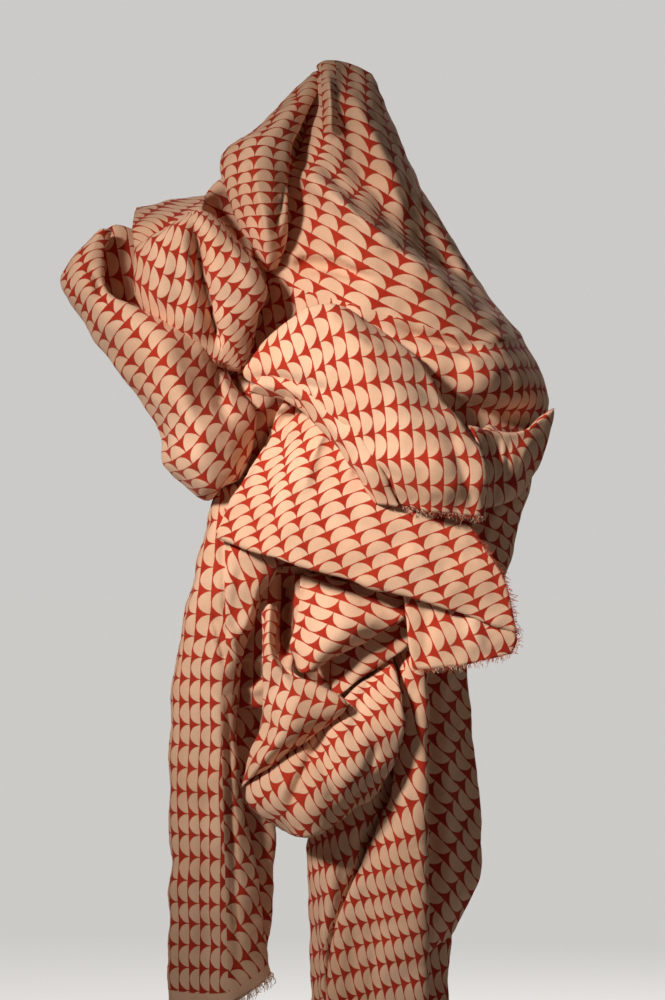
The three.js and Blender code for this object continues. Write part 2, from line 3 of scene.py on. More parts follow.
import bmesh
import bpy
import numpy as np
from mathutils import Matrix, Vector


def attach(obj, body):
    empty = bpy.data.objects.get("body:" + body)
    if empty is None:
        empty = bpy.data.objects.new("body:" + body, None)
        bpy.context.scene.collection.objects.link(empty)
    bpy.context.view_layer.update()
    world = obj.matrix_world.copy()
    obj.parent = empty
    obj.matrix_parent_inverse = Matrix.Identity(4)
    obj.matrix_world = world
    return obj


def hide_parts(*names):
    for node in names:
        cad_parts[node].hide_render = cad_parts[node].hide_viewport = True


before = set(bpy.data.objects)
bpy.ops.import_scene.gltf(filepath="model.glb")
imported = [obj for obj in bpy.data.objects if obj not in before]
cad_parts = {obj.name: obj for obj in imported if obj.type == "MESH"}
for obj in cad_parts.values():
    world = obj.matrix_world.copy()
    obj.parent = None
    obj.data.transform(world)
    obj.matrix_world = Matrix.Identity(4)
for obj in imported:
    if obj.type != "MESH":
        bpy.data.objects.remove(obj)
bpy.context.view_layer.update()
scene = bpy.context.scene
scene.view_settings.view_transform = "Standard"

# The elevation: across and down in millimetres, depth negative towards the viewer.
elevation = {"hangAcross": 345, "hangDown": 64}

clothLook = {
    "step": 0.0033,              # size of a face
    "thickness": 0.0007,
    "creaseFade": (-0.12, 0.22),  # shares of a crease's length over which its ends fade
    "seamFade": 0.12,            # and a wrap's creases towards its sides
    "turnStep": 2.6,             # sizes of faces, in mm, round a turned border and past it
    "backStep": 3.5,
    "mostTurned": 0.24,          # the most of a stretch's width that a border's radius takes
    "mostFolded": 0.4,           # and that a fold lies back
    "planPoints": 44,            # points along each side of the copy that is unwrapped
    "domePitch": 26.6,           # print, in mm: from one half circle to the next along their flat sides
    "rowPitch": 12.9,            # from one flat side to the next
    "lineWidth": 0.95,
    "cream": (0.86, 0.56, 0.385),
    "red": (0.42, 0.024, 0.009),
    "reverse": (0.62, 0.30, 0.19),
    "reverseRed": (0.4, 0.08, 0.05),
    "threadPitch": 0.62,
    "selvedge": (11.5, 13.0),    # the unprinted strip ends between these distances from the edge
}


def newObject(name, data):
    obj = bpy.data.objects.new(name, data)
    scene.collection.objects.link(obj)
    return obj


# Borders of a stretch. A fold turns right round and lies back behind it, and a tuck turns away.
def fold(radius, back):
    return {"radius": radius, "angle": math.pi, "back": back}


def tuck(radius, back):
    return {"radius": radius, "angle": math.pi / 2, "back": back}


def place(table):
    spots = np.array(table, float)
    across, down, depth = spots[..., 0], spots[..., 1], spots[..., 2]
    x, z = across - elevation["hangAcross"], elevation["hangDown"] - down
    return np.stack([x, depth, z], axis=-1) / 1000


# Points on smooth curves through the table's points, one curve for each column.
def alongCurves(points, shares, closed=False):
    spans = len(points) if closed else len(points) - 1
    if closed:
        padded = np.concatenate([points[-1:], points, points[:2]])
    else:
        before, after = 2 * points[:1] - points[1:2], 2 * points[-1:] - points[-2:-1]
        padded = np.concatenate([before, points, after])
    at = np.asarray(shares) * spans
    first = np.minimum(at.astype(int), spans - 1)
    t = (at - first).reshape((-1,) + (1,) * (points.ndim - 1))
    a, b, c, d = (padded[first + k] for k in range(4))
    bend = a - 2.5 * b + 2 * c - 0.5 * d
    twist = 1.5 * (b - c) + 0.5 * (d - a)
    return b + t * ((c - a) / 2 + t * (bend + t * twist))


# Shares along those curves, so that each stretch between two points has steps of about that size.
def cuts(points, step, closed=False):
    following = np.roll(points, -1, axis=0) if closed else points[1:]
    gaps = np.linalg.norm(following - points[: len(following)], axis=-1)
    steps = np.maximum(1, np.round(gaps.reshape(len(gaps), -1).mean(axis=1) / step)).astype(int)
    shares = [(i + k / n) / len(steps) for i, n in enumerate(steps) for k in range(n)]
    return np.array(shares + [1.0])


def smoothStep(value, low, high):
    t = np.clip((value - low) / (high - low), 0, 1)
    return t * t * (3 - 2 * t)


# How far the creases lift each point: full on their lines, fading to the sides and past the ends.
def liftOf(points, creases):
    lift = np.zeros(points.shape[:-1])
    for fromX, fromY, toX, toY, bow, wide, high in creases:
        start, end = place([(fromX, fromY, 0), (toX, toY, 0)])[:, ::2] * 1000
        length = np.hypot(*(end - start))
        along = (end - start) / length
        x, z = points[..., 0] * 1000 - start[0], points[..., 2] * 1000 - start[1]
        share = (x * along[0] + z * along[1]) / length
        aside = x * along[1] - z * along[0] - bow * 4 * share * (1 - share)
        ends = smoothStep(np.minimum(share, 1 - share), *clothLook["creaseFade"])
        lift += high * ends * np.exp(1 - np.sqrt(1 + 3 * (aside / wide) ** 2))
    return lift / 1000


def normalsOf(points, closed=False):
    if closed:
        points = np.concatenate([points[:, -2:-1], points, points[:, 1:2]], axis=1)
    acrossIt, downIt = np.gradient(points, axis=1), np.gradient(points, axis=0)
    if closed:
        acrossIt, downIt = acrossIt[:, 1:-1], downIt[:, 1:-1]
    normals = np.cross(downIt, acrossIt)
    return normals / np.maximum(np.linalg.norm(normals, axis=-1, keepdims=True), 1e-12)


# The cloth's own unevenness, broad and fine.
unevenness = (
    {"waves": 28, "amount": 0.0011, "longest": 0.055, "shortest": 0.022},
    {"waves": 28, "amount": 0.00022, "longest": 0.016, "shortest": 0.008},
)


# Soft waves in random directions, the same each run.
def rumpled(points, closed, waves, amount, longest, shortest, seed):
    draw = np.random.default_rng(seed)
    height = np.zeros(points.shape[:-1])
    for _ in range(waves):
        direction = draw.normal(size=3)
        wave = draw.uniform(shortest, longest)
        turns = points @ (direction / np.linalg.norm(direction)) / wave + draw.uniform()
        height += np.cos(2 * math.pi * turns) * wave / longest
    return points + normalsOf(points, closed) * (height * amount / math.sqrt(waves / 2))[..., None]


def gridOf(piece, closed):
    table = place(piece["sections"])
    step = clothLook["step"]
    down = cuts(table, step)
    across = cuts(table.swapaxes(0, 1), step, closed)
    ribs = alongCurves(table, down)
    points = alongCurves(ribs.swapaxes(0, 1), across, closed).swapaxes(0, 1)
    return points, across


# A wrap: closed round, with its seam at the back, and creases on its front and on its back.
def wrapPoints(piece):
    points, across = gridOf(piece, True)
    columns = len(piece["sections"][0])
    frontShare = (piece["frontColumns"] - 1) / columns
    front = across <= frontShare
    share = np.where(front, across / frontShare, (across - frontShare) / (1 - frontShare))
    inset = smoothStep(np.minimum(share, 1 - share), 0, clothLook["seamFade"])
    frontLift = liftOf(points, piece.get("creases", ()))
    backLift = liftOf(points, piece.get("backCreases", ()))
    points[..., 1] += np.where(front, -frontLift, backLift) * inset
    seam = int(np.argmin(abs(across - (columns - 1) / columns)))
    points = np.concatenate([points[:, seam:-1], points[:, : seam + 1]], axis=1)
    return points, {"top": 0, "bottom": 0, "left": 0, "right": 0}


# The points that carry a border on: round its turn, and then straight.
def carriedOn(edge, inner, border, width):
    out = edge - inner
    out /= np.linalg.norm(out, axis=-1, keepdims=True)
    away = np.array([0, 1.0, 0])
    into = away - out * (out @ away)[:, None]
    into /= np.linalg.norm(into, axis=-1, keepdims=True)
    radius = np.minimum(border["radius"] / 1000, width * clothLook["mostTurned"])[:, None]
    back = np.full(len(edge), border["back"] / 1000)
    if border["angle"] == math.pi:
        back = np.minimum(back, width * clothLook["mostFolded"])
    turns = max(3, int(border["radius"] * border["angle"] / clothLook["turnStep"]))
    steps = max(1, int(border["back"] / clothLook["backStep"])) if border["back"] else 0
    added = []
    for k in range(1, turns + steps + 1):
        angle = border["angle"] * min(k / turns, 1)
        straight = back[:, None] * max(0, k - turns) / max(steps, 1)
        sideways = radius * math.sin(angle) + straight * math.cos(angle)
        inwards = radius * (1 - math.cos(angle)) + straight * math.sin(angle)
        added.append(edge + out * sideways + into * inwards)
    return added


def withEnds(points, first, last):
    width = np.linalg.norm(np.diff(points, axis=1), axis=-1).sum(axis=1)
    before = carriedOn(points[:, 0], points[:, 1], first, width)[::-1] if first else []
    after = carriedOn(points[:, -1], points[:, -2], last, width) if last else []
    columns = [*before, *points.swapaxes(0, 1), *after]
    return np.stack(columns, axis=1), len(before), len(after)


def panelPoints(piece):
    points, _ = gridOf(piece, False)
    points[..., 1] -= liftOf(points, piece.get("creases", ()))
    borders = piece["borders"]
    points, left, right = withEnds(points, borders.get("left"), borders.get("right"))
    points, top, bottom = withEnds(points.swapaxes(0, 1), borders.get("top"), borders.get("bottom"))
    return points.swapaxes(0, 1), {"top": top, "bottom": bottom, "left": left, "right": right}


# A sheet of faces laid on those rows of points. The corners of two turned borders are left out.
def sheetMesh(name, points, turned):
    height, width = points.shape[:2]
    bm = bmesh.new()
    bmesh.ops.create_grid(bm, x_segments=width - 1, y_segments=height - 1, size=1)
    for vert, spot in zip(bm.verts, points[::-1].reshape(-1, 3)):
        vert.co = spot
    bm.faces.ensure_lookup_table()
    rows = (height - 2 - k // (width - 1) for k in range(len(bm.faces)))
    corners = []
    for k, row in enumerate(rows):
        column = k % (width - 1)
        rowTurned = row < turned["top"] or row >= height - 1 - turned["bottom"]
        columnTurned = column < turned["left"] or column >= width - 1 - turned["right"]
        if rowTurned and columnTurned:
            corners.append(bm.faces[k])
    bmesh.ops.delete(bm, geom=corners, context="FACES_ONLY")
    for face in bm.faces:
        face.smooth = True
    mesh = bpy.data.meshes.new(name)
    bm.to_mesh(mesh)
    bm.free()
    return mesh


# Where each point lies on the flat cloth, in mm: a coarser copy is unwrapped with little stretch.
def flatPlan(points):
    height, width = points.shape[:2]
    most = clothLook["planPoints"]
    rows = np.unique(np.linspace(0, height - 1, min(height, most)).round().astype(int))
    columns = np.unique(np.linspace(0, width - 1, min(width, most)).round().astype(int))
    coarse = points[np.ix_(rows, columns)]
    mesh = sheetMesh("flatPlan", coarse, {"top": 0, "bottom": 0, "left": 0, "right": 0})
    copy = newObject("flatPlan", mesh)
    bpy.ops.object.select_all(action="DESELECT")
    copy.select_set(True)
    bpy.context.view_layer.objects.active = copy
    bpy.ops.object.mode_set(mode="EDIT")
    bpy.ops.mesh.select_all(action="SELECT")
    bpy.ops.uv.unwrap(method="MINIMUM_STRETCH", margin=0)
    bpy.ops.object.mode_set(mode="OBJECT")
    corners = np.zeros(len(mesh.loops) * 2)
    mesh.uv_layers.active.data.foreach_get("uv", corners)
    owners = np.zeros(len(mesh.loops), int)
    mesh.loops.foreach_get("vertex_index", owners)
    plan = np.zeros((len(mesh.vertices), 2))
    plan[owners] = corners.reshape(-1, 2)
    bpy.data.objects.remove(copy)
    bpy.data.meshes.remove(mesh)
    plan = plan.reshape(len(rows), len(columns), 2)[::-1]

    def lengths(grid):
        return sum(np.linalg.norm(np.diff(grid, axis=k), axis=-1).sum() for k in (0, 1))

    plan = plan * lengths(coarse) / lengths(plan) * 1000
    allRows, allColumns = np.arange(height), np.arange(width)
    fine = np.stack([
        np.stack([np.interp(allColumns, columns, row) for row in plan[..., k]]) for k in range(2)
    ], axis=-1)
    return np.stack([
        np.stack([np.interp(allRows, rows, fine[:, j, k]) for j in range(width)], axis=1)
        for k in range(2)
    ], axis=-1)


# The cloth that counts as a spot's own: how squarely it faces the viewer, how far off it may lie
# and how much deeper. Where two spots are near, the print eases softly from one to the other.
around = {"facing": -0.15, "reach": 0.012, "further": 1.5, "depth": 0.03}
easing = {"soft": 12, "power": 1.5}


# The flat cloth turned and moved so that, at a spot on the elevation, a half circle's flat side
# has its middle there and runs at that angle, with its dome to the left of it. Where the cloth is
# gathered finer than the table says, rows gives the distance between its rows on the elevation,
# and domes the distance from one half circle to the next.
def printedAt(points, plan, across, down, angle, rows=None, domes=None):
    normals = normalsOf(points)
    target = place([(across, down, 0)])[0]
    away = np.hypot(points[..., 0] - target[0], points[..., 2] - target[2])
    facing = normals[..., 1] < around["facing"]
    near = facing & (away < max(around["reach"], away[facing].min() * around["further"]))
    near &= points[..., 1] < points[..., 1][near].min() + around["depth"]
    spots = points[near][:, ::2] * 1000
    fit = np.linalg.lstsq(np.column_stack([spots, np.ones(len(spots))]), plan[near], rcond=None)[0]
    line = np.array([math.cos(math.radians(angle)), math.sin(math.radians(angle))])
    alongIt, acrossIt = line @ fit[:2], np.array([-line[1], line[0]]) @ fit[:2]
    pulled = 1 if domes is None else clothLook["domePitch"] / domes / np.linalg.norm(alongIt)
    alongIt /= np.linalg.norm(alongIt)
    side = np.array([-alongIt[1], alongIt[0]])
    side *= np.sign(side @ acrossIt)
    middle = np.array([target[0] * 1000, target[2] * 1000, 1]) @ fit
    moved = plan - middle
    gathered = 1 if rows is None else clothLook["rowPitch"] / rows / abs(side @ acrossIt)
    laid = np.stack([moved @ alongIt * pulled, moved @ side * gathered], axis=-1)
    laid[..., 0] += clothLook["domePitch"] / 2
    return laid, np.linalg.norm(moved, axis=-1)


# Several such spots on one stretch, with their rows brought in line halfway between them.
def easedPrint(points, plan, spots):
    pitch = np.array([clothLook["domePitch"], clothLook["rowPitch"]])
    total, weights, nearest = 0, 0, None
    for spot in spots:
        laid, distance = printedAt(points, plan, *spot)
        if nearest is not None:
            halfway = np.unravel_index(np.argmin(np.maximum(nearest, distance)), distance.shape)
            laid += np.round((total / weights[..., None] - laid)[halfway] / pitch) * pitch
        nearest = distance if nearest is None else np.minimum(nearest, distance)
        weight = 1 / (distance**2 + easing["soft"] ** 2) ** easing["power"]
        total = total + laid * weight[..., None]
        weights = weights + weight
    return total / weights[..., None]


joining = {"shows": 0.25, "nearby": 1e-6}


# The print of each zone goes in a map of its own. The faces are cut along the lines between the
# zones, and each face that shows from the front keeps the last zone that it lies in.
def layPrint(mesh, points, plan, zones):
    owners = np.zeros(len(mesh.loops), int)
    mesh.loops.foreach_get("vertex_index", owners)
    titles = ["cloth"] + [f"zone{k}" for k in range(1, len(zones))]
    for title, zone in zip(titles, zones):
        laid = easedPrint(points, plan, zone["spots"])[::-1].reshape(-1, 2)
        mesh.uv_layers.new(name=title).data.foreach_set("uv", laid[owners].ravel())
    bm = bmesh.new()
    bm.from_mesh(mesh)
    bm.normal_update()
    nearby = joining["nearby"]
    for zone in zones[1:]:
        for x1, y1, x2, y2 in zone["past"]:
            start, end = place([(x1, y1, 0), (x2, y2, 0)])
            side = Vector(end - start).cross(Vector((0, 1, 0))).normalized()
            everything = bm.verts[:] + bm.edges[:] + bm.faces[:]
            bmesh.ops.bisect_plane(bm, geom=everything, dist=nearby, plane_co=start, plane_no=side)
    maps = [bm.loops.layers.uv[title] for title in titles]
    for face in (face for face in bm.faces if face.normal.y < joining["shows"]):
        centre = face.calc_center_median() * 1000
        x, y = centre.x + elevation["hangAcross"], elevation["hangDown"] - centre.z
        for zone, zoneMap in zip(zones[1:], maps[1:]):
            if all((x - x1) * (y2 - y1) < (y - y1) * (x2 - x1) for x1, y1, x2, y2 in zone["past"]):
                for corner in face.loops:
                    corner[maps[0]].uv = corner[zoneMap].uv
    bmesh.ops.remove_doubles(bm, verts=bm.verts, dist=nearby)
    bm.to_mesh(mesh)
    bm.free()
    for title in titles[1:]:
        mesh.uv_layers.remove(mesh.uv_layers[title])


shutting = {"rise": 0.004, "shares": (1, 0.85, 0.65, 0.45, 0.25)}


# A wrap's first ring drawn in to its middle, as cloth that is folded over.
def shutTop(points, plan):
    ring, middle = points[0], points[0][:-1].mean(axis=0)
    upwards = points[0].mean(axis=0) - points[2].mean(axis=0)
    upwards *= shutting["rise"] / np.linalg.norm(upwards)
    onwards = plan[0] - plan[1]
    onwards /= np.linalg.norm(onwards, axis=-1, keepdims=True)
    rings, plans = [], []
    for share in shutting["shares"]:
        added = ring + (middle - ring) * share + upwards * math.sin(math.pi / 2 * share)
        travelled = np.linalg.norm(added - ring, axis=-1, keepdims=True) * 1000
        rings.append(added)
        plans.append(plan[0] + onwards * travelled)
    return np.concatenate([rings, points]), np.concatenate([plans, plan])


threadLook = {
    "radius": 0.00024,
    "joints": 4,
    "shortest": 0.3,         # share of the length that a piece's table gives
    "strewn": 0.5,           # how far a thread strays along the edge, as a share of the gap
    "bent": 0.35,
    "hangs": (0, 0, -0.25),
    "rooted": 0.0006,        # how deep it begins in the cloth
}


# Loose threads along a cut edge, each a fine bent wire of a few faces.
def looseThreads(name, points, fray):
    across = points if fray["edge"] == "bottom" else points.swapaxes(0, 1)
    edge, inner = across[-1], across[-3]
    out = edge - inner
    out /= np.linalg.norm(out, axis=-1, keepdims=True)
    travelled = np.concatenate([[0], np.linalg.norm(np.diff(edge, axis=0), axis=-1).cumsum()]) * 1000
    first, last = (share * travelled[-1] for share in fray["between"])
    draw = np.random.default_rng(len(name))
    curve = bpy.data.curves.new(name, "CURVE")
    curve.dimensions = "3D"
    curve.bevel_depth = threadLook["radius"]
    curve.bevel_resolution = 0
    for spot in np.arange(first, last, fray["apart"]):
        at = spot + draw.uniform(-threadLook["strewn"], threadLook["strewn"]) * fray["apart"]
        start = np.array([np.interp(at, travelled, edge[:, k]) for k in range(3)])
        way = np.array([np.interp(at, travelled, out[:, k]) for k in range(3)])
        long = fray["long"] / 1000 * draw.uniform(threadLook["shortest"], 1)
        lean = draw.normal(size=3) * threadLook["bent"] + threadLook["hangs"]
        curl = draw.normal(size=3) * threadLook["bent"]
        thread = curve.splines.new("POLY")
        thread.points.add(threadLook["joints"])
        for k, point in enumerate(thread.points):
            share = k / threadLook["joints"]
            bend = lean * share**1.5 + curl * math.sin(math.pi * share)
            point.co = (*(start - way * threadLook["rooted"] + (way * share + bend) * long), 1)
    wire = bpy.data.objects.new(name, curve)
    mesh = bpy.data.meshes.new_from_object(wire)
    bpy.data.objects.remove(wire)
    bpy.data.curves.remove(curve)
    threads = newObject(name, mesh)
    mesh.materials.clear()
    mesh.materials.append(threadMaterials[fray["tone"]])
    for face in mesh.polygons:
        face.use_smooth = True
    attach(threads, "root")
    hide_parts("cloth")
    print(f"{name}: {len(mesh.polygons)} faces")
    return threads


def clothPiece(name, piece):
    closed = "frontColumns" in piece
    points, turned = (wrapPoints if closed else panelPoints)(piece)
    plan = flatPlan(points)
    shown = smoothStep(-normalsOf(points, closed)[..., 1], 0, 0.3)
    points[..., 1] -= liftOf(points, piece.get("wrinkles", ())) * shown
    seed = sum(ord(letter) for letter in name)
    for k, waves in enumerate(unevenness):
        points = rumpled(points, closed, seed=seed + k, **waves)
    if "top" in piece.get("shut", ()):
        points, plan = shutTop(points, plan)
    if "bottom" in piece.get("shut", ()):
        points, plan = (grid[::-1] for grid in shutTop(points[::-1], plan[::-1]))
    mesh = sheetMesh(name, points, turned)
    fromSelvedge = mesh.attributes.new("fromSelvedge", "FLOAT", "POINT")
    distance = np.full(points.shape[:2], 1000.0)
    if "selvedge" in piece:
        steps = np.linalg.norm(np.diff(points, axis=0), axis=-1)[::-1].cumsum(axis=0)[::-1] * 1000
        distance = np.concatenate([steps, np.zeros((1, points.shape[1]))])
    fromSelvedge.data.foreach_set("value", distance[::-1].ravel())
    layPrint(mesh, points, plan, [{"spots": piece["spots"]}, *piece.get("zones", ())])
    obj = newObject(name, mesh)
    mesh.materials.append(printedSide)
    mesh.materials.append(reverseSide)
    thick = obj.modifiers.new("thickness", "SOLIDIFY")
    thick.thickness = clothLook["thickness"]
    thick.offset = -1
    thick.material_offset = 1
    thick.material_offset_rim = 0
    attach(obj, "root")
    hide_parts("cloth")
    for k, fray in enumerate(piece.get("frayed", ())):
        looseThreads(f"{name}Threads{k + 1}", points, fray)


class Shader:
    def __init__(self, tree):
        self.tree = tree

    def node(self, kind, **settings):
        made = self.tree.nodes.new(kind)
        for key, value in settings.items():
            setattr(made, key, value)
        return made

    def link(self, source, target):
        self.tree.links.new(source, target)

    def fill(self, socket, value):
        if isinstance(value, bpy.types.NodeSocket):
            self.link(value, socket)
        else:
            socket.default_value = value

    def made(self, kind, values, **settings):
        node = self.node(kind, **settings)
        for socket, value in zip(node.inputs, values):
            self.fill(socket, value)
        return node.outputs[0]

    def math(self, operation, *values):
        return self.made("ShaderNodeMath", values, operation=operation)

    def vector(self, operation, *values):
        return self.made("ShaderNodeVectorMath", values, operation=operation)

    def ramp(self, value, low, high, lowTo=0.0, highTo=1.0):
        values = (value, low, high, lowTo, highTo)
        return self.made("ShaderNodeMapRange", values, interpolation_type="SMOOTHSTEP")

    def mix(self, share, first, second, blend="MIX"):
        made = self.node("ShaderNodeMix", data_type="RGBA", blend_type=blend)
        for socket, value in ((0, share), (6, first), (7, second)):
            self.fill(made.inputs[socket], value)
        return made.outputs[2]

    def noise(self, vector, scale, detail=2.0):
        made = self.node("ShaderNodeTexNoise")
        self.fill(made.inputs["Vector"], vector)
        made.inputs["Scale"].default_value = scale
        made.inputs["Detail"].default_value = detail
        return made.outputs["Fac"]


def nodeGroup(name, inputs, outputs):
    group = bpy.data.node_groups.new(name, "ShaderNodeTree")
    group.interface.new_socket("Vector", in_out="INPUT", socket_type="NodeSocketVector")
    for title, value in inputs.items():
        socket = group.interface.new_socket(title, in_out="INPUT", socket_type="NodeSocketFloat")
        socket.default_value = value
    for title in outputs:
        group.interface.new_socket(title, in_out="OUTPUT", socket_type="NodeSocketFloat")
    shader = Shader(group)
    return group, shader, shader.node("NodeGroupInput"), shader.node("NodeGroupOutput")


# Rows of half circles with thin lines along their flat sides: 1 on the pale half circles.
printShape = {
    "wobbleScale": 0.45,
    "wobble": 0.9,               # how far, in mm, the printed edges stray
    "domeShare": 0.483,          # a half circle's radius as a share of the distance to the next
    "lineFrom": 0.3,             # shares of the line's width over which it turns pale
    "lineTo": 0.75,
}


def halfCircleGroup():
    sizes = {
        "Dome Pitch": clothLook["domePitch"],
        "Row Pitch": clothLook["rowPitch"],
        "Line Width": clothLook["lineWidth"],
        "Edge": 0.03,
    }
    group, s, given, made = nodeGroup("half circle print", sizes, ("Pale",))
    vector, pitch, rise, line, edge = given.outputs[:5]
    wobble = s.node("ShaderNodeTexNoise")
    s.link(vector, wobble.inputs["Vector"])
    wobble.inputs["Scale"].default_value = printShape["wobbleScale"]
    wobble.inputs["Detail"].default_value = 3
    shifted = s.vector("SUBTRACT", wobble.outputs["Color"], (0.5, 0.5, 0.5))
    added = s.vector("MULTIPLY_ADD", shifted, (printShape["wobble"],) * 3, vector)
    parts = s.node("ShaderNodeSeparateXYZ")
    s.link(added, parts.inputs[0])
    alongIt = s.math("SUBTRACT", s.math("FRACT", s.math("DIVIDE", parts.outputs[0], pitch)), 0.5)
    alongIt = s.math("DIVIDE", alongIt, printShape["domeShare"])
    base = s.math("MULTIPLY", s.math("FRACT", s.math("DIVIDE", parts.outputs[1], rise)), rise)
    height = s.math("DIVIDE", base, s.math("SUBTRACT", rise, s.math("MULTIPLY", line, 0.5)))
    squares = s.math("ADD", s.math("MULTIPLY", alongIt, alongIt), s.math("MULTIPLY", height, height))
    outside = s.ramp(s.math("SQRT", squares), s.math("SUBTRACT", 1.0, edge), s.math("ADD", 1.0, edge))
    lineEnds = [s.math("MULTIPLY", line, printShape[end]) for end in ("lineFrom", "lineTo")]
    pale = s.math("MULTIPLY", s.math("SUBTRACT", 1.0, outside), s.ramp(base, *lineEnds))
    s.link(pale, made.inputs[0])
    return group


# Plain weave: threads over and under each other, as a height from 0 to 1, and thicker threads.
def weaveGroup():
    sizes = {"Thread Pitch": clothLook["threadPitch"]}
    group, s, given, made = nodeGroup("plain weave", sizes, ("Height", "Slub"))
    vector, pitch = given.outputs[:2]
    parts = s.node("ShaderNodeSeparateXYZ")
    s.link(vector, parts.inputs[0])
    turns = [s.math("MULTIPLY", s.math("DIVIDE", side, pitch), math.pi) for side in parts.outputs[:2]]
    over = s.math("MULTIPLY", s.math("SINE", turns[0]), s.math("SINE", turns[1]))
    s.link(s.math("MULTIPLY_ADD", over, 0.5, 0.5), made.inputs[0])
    slubs = []
    for scale in ((0.03, 1.1, 1), (1.1, 0.03, 1)):
        mapping = s.node("ShaderNodeMapping")
        s.link(vector, mapping.inputs["Vector"])
        mapping.inputs["Scale"].default_value = scale
        slubs.append(s.noise(mapping.outputs[0], 1.0))
    s.link(s.math("MULTIPLY", s.math("ADD", *slubs), 0.5), made.inputs[1])
    return group


clothFinish = {
    "patchScale": 0.012,
    "paleFaded": (0.94, 0.9, 0.86),
    "darkFaded": (1.18, 1.5, 1.4),
    # painted shade in the weave, darker in the dips between threads and lighter on thicker threads: from
    # where to where it changes, and how far it darkens and lightens
    "weaveShadeAndSlubTones": (0.25, 0.75, 0.86, 1.06),
    "slubHeight": 1.2,
    "bump": 0.35,
    "bumpDistance": 0.00022,
    "surface": {
        "Roughness": 0.86,
        "Specular IOR Level": 0.18,
        "Sheen Weight": 0.12,
        "Sheen Roughness": 0.5,
        "Sheen Tint": (1.0, 0.82, 0.7, 1),
    },
}


def opaque(colour, tones=(1, 1, 1)):
    return (*(channel * tone for channel, tone in zip(colour, tones)), 1)


def newMaterial(name):
    material = bpy.data.materials.new(name)
    material.use_nodes = True
    return material, Shader(material.node_tree), material.node_tree.nodes["Principled BSDF"]


# One side of the cloth. The print shows through to the reverse in part.
def clothMaterial(name, pale, dark, showThrough):
    material, s, surface = newMaterial(name)
    flat = s.node("ShaderNodeUVMap", uv_map="cloth").outputs[0]
    printed = s.node("ShaderNodeGroup", node_tree=halfCircles)
    s.link(flat, printed.inputs["Vector"])
    weave = s.node("ShaderNodeGroup", node_tree=plainWeave)
    s.link(flat, weave.inputs["Vector"])
    patchy = s.ramp(s.noise(flat, clothFinish["patchScale"], 3.0), 0.35, 0.65)
    worn = s.ramp(s.noise(flat, 0.05, 3.0), 0.3, 0.7)
    paleColour = s.mix(patchy, opaque(pale), opaque(pale, clothFinish["paleFaded"]))
    darkColour = s.mix(worn, opaque(dark), opaque(dark, clothFinish["darkFaded"]))
    paleShare = s.math("MULTIPLY_ADD", printed.outputs[0], showThrough, 1 - showThrough)
    margin = s.node("ShaderNodeAttribute", attribute_name="fromSelvedge").outputs["Fac"]
    selvedge = s.math("SUBTRACT", 1.0, s.ramp(margin, *clothLook["selvedge"]))
    colour = s.mix(s.math("MAXIMUM", paleShare, selvedge), darkColour, paleColour)
    # Painted shade in the weave: the colour is darker where the threads dip under each other, and lighter on
    # the thicker threads.
    height, slub = weave.outputs[:2]
    threads = s.math("MULTIPLY_ADD", height, 0.5, s.math("MULTIPLY", slub, 0.5))
    tone = s.ramp(threads, *clothFinish["weaveShadeAndSlubTones"])
    weaveShadeAndSlubTone = s.node("ShaderNodeCombineColor")
    for socket in weaveShadeAndSlubTone.inputs[:3]:
        s.link(tone, socket)
    s.link(s.mix(1.0, colour, weaveShadeAndSlubTone.outputs[0], "MULTIPLY"), surface.inputs["Base Color"])
    bump = s.node("ShaderNodeBump")
    bump.inputs["Strength"].default_value = clothFinish["bump"]
    bump.inputs["Distance"].default_value = clothFinish["bumpDistance"]
    relief = s.math("ADD", height, s.math("MULTIPLY", slub, clothFinish["slubHeight"]))
    s.link(relief, bump.inputs["Height"])
    s.link(bump.outputs[0], surface.inputs["Normal"])
    for title, value in clothFinish["surface"].items():
        surface.inputs[title].default_value = value
    return material


# Loose threads, in patches of two tones.
def threadMaterial(name, pale, dark, share):
    material, s, surface = newMaterial(name)
    where = s.node("ShaderNodeTexCoord").outputs["Object"]
    patches = s.ramp(s.noise(where, 140, 2.0), share - 0.08, share + 0.08)
    s.link(s.mix(patches, opaque(dark), opaque(pale)), surface.inputs["Base Color"])
    surface.inputs["Roughness"].default_value = 0.9
    surface.inputs["Specular IOR Level"].default_value = 0.15
    return material


halfCircles = halfCircleGroup()
plainWeave = weaveGroup()
threadMaterials = {
    "pale": threadMaterial("pale threads", (0.82, 0.58, 0.42), (0.66, 0.36, 0.22), 0.4),
    "mixed": threadMaterial("mixed threads", (0.8, 0.5, 0.36), (0.5, 0.08, 0.04), 0.5),
    "red": threadMaterial("red threads", (0.78, 0.42, 0.3), (0.48, 0.06, 0.03), 0.6),
}
printedSide = clothMaterial("printed side", clothLook["cream"], clothLook["red"], 1.0)
reverseSide = clothMaterial("reverse side", clothLook["reverse"], clothLook["reverseRed"], 0.45)

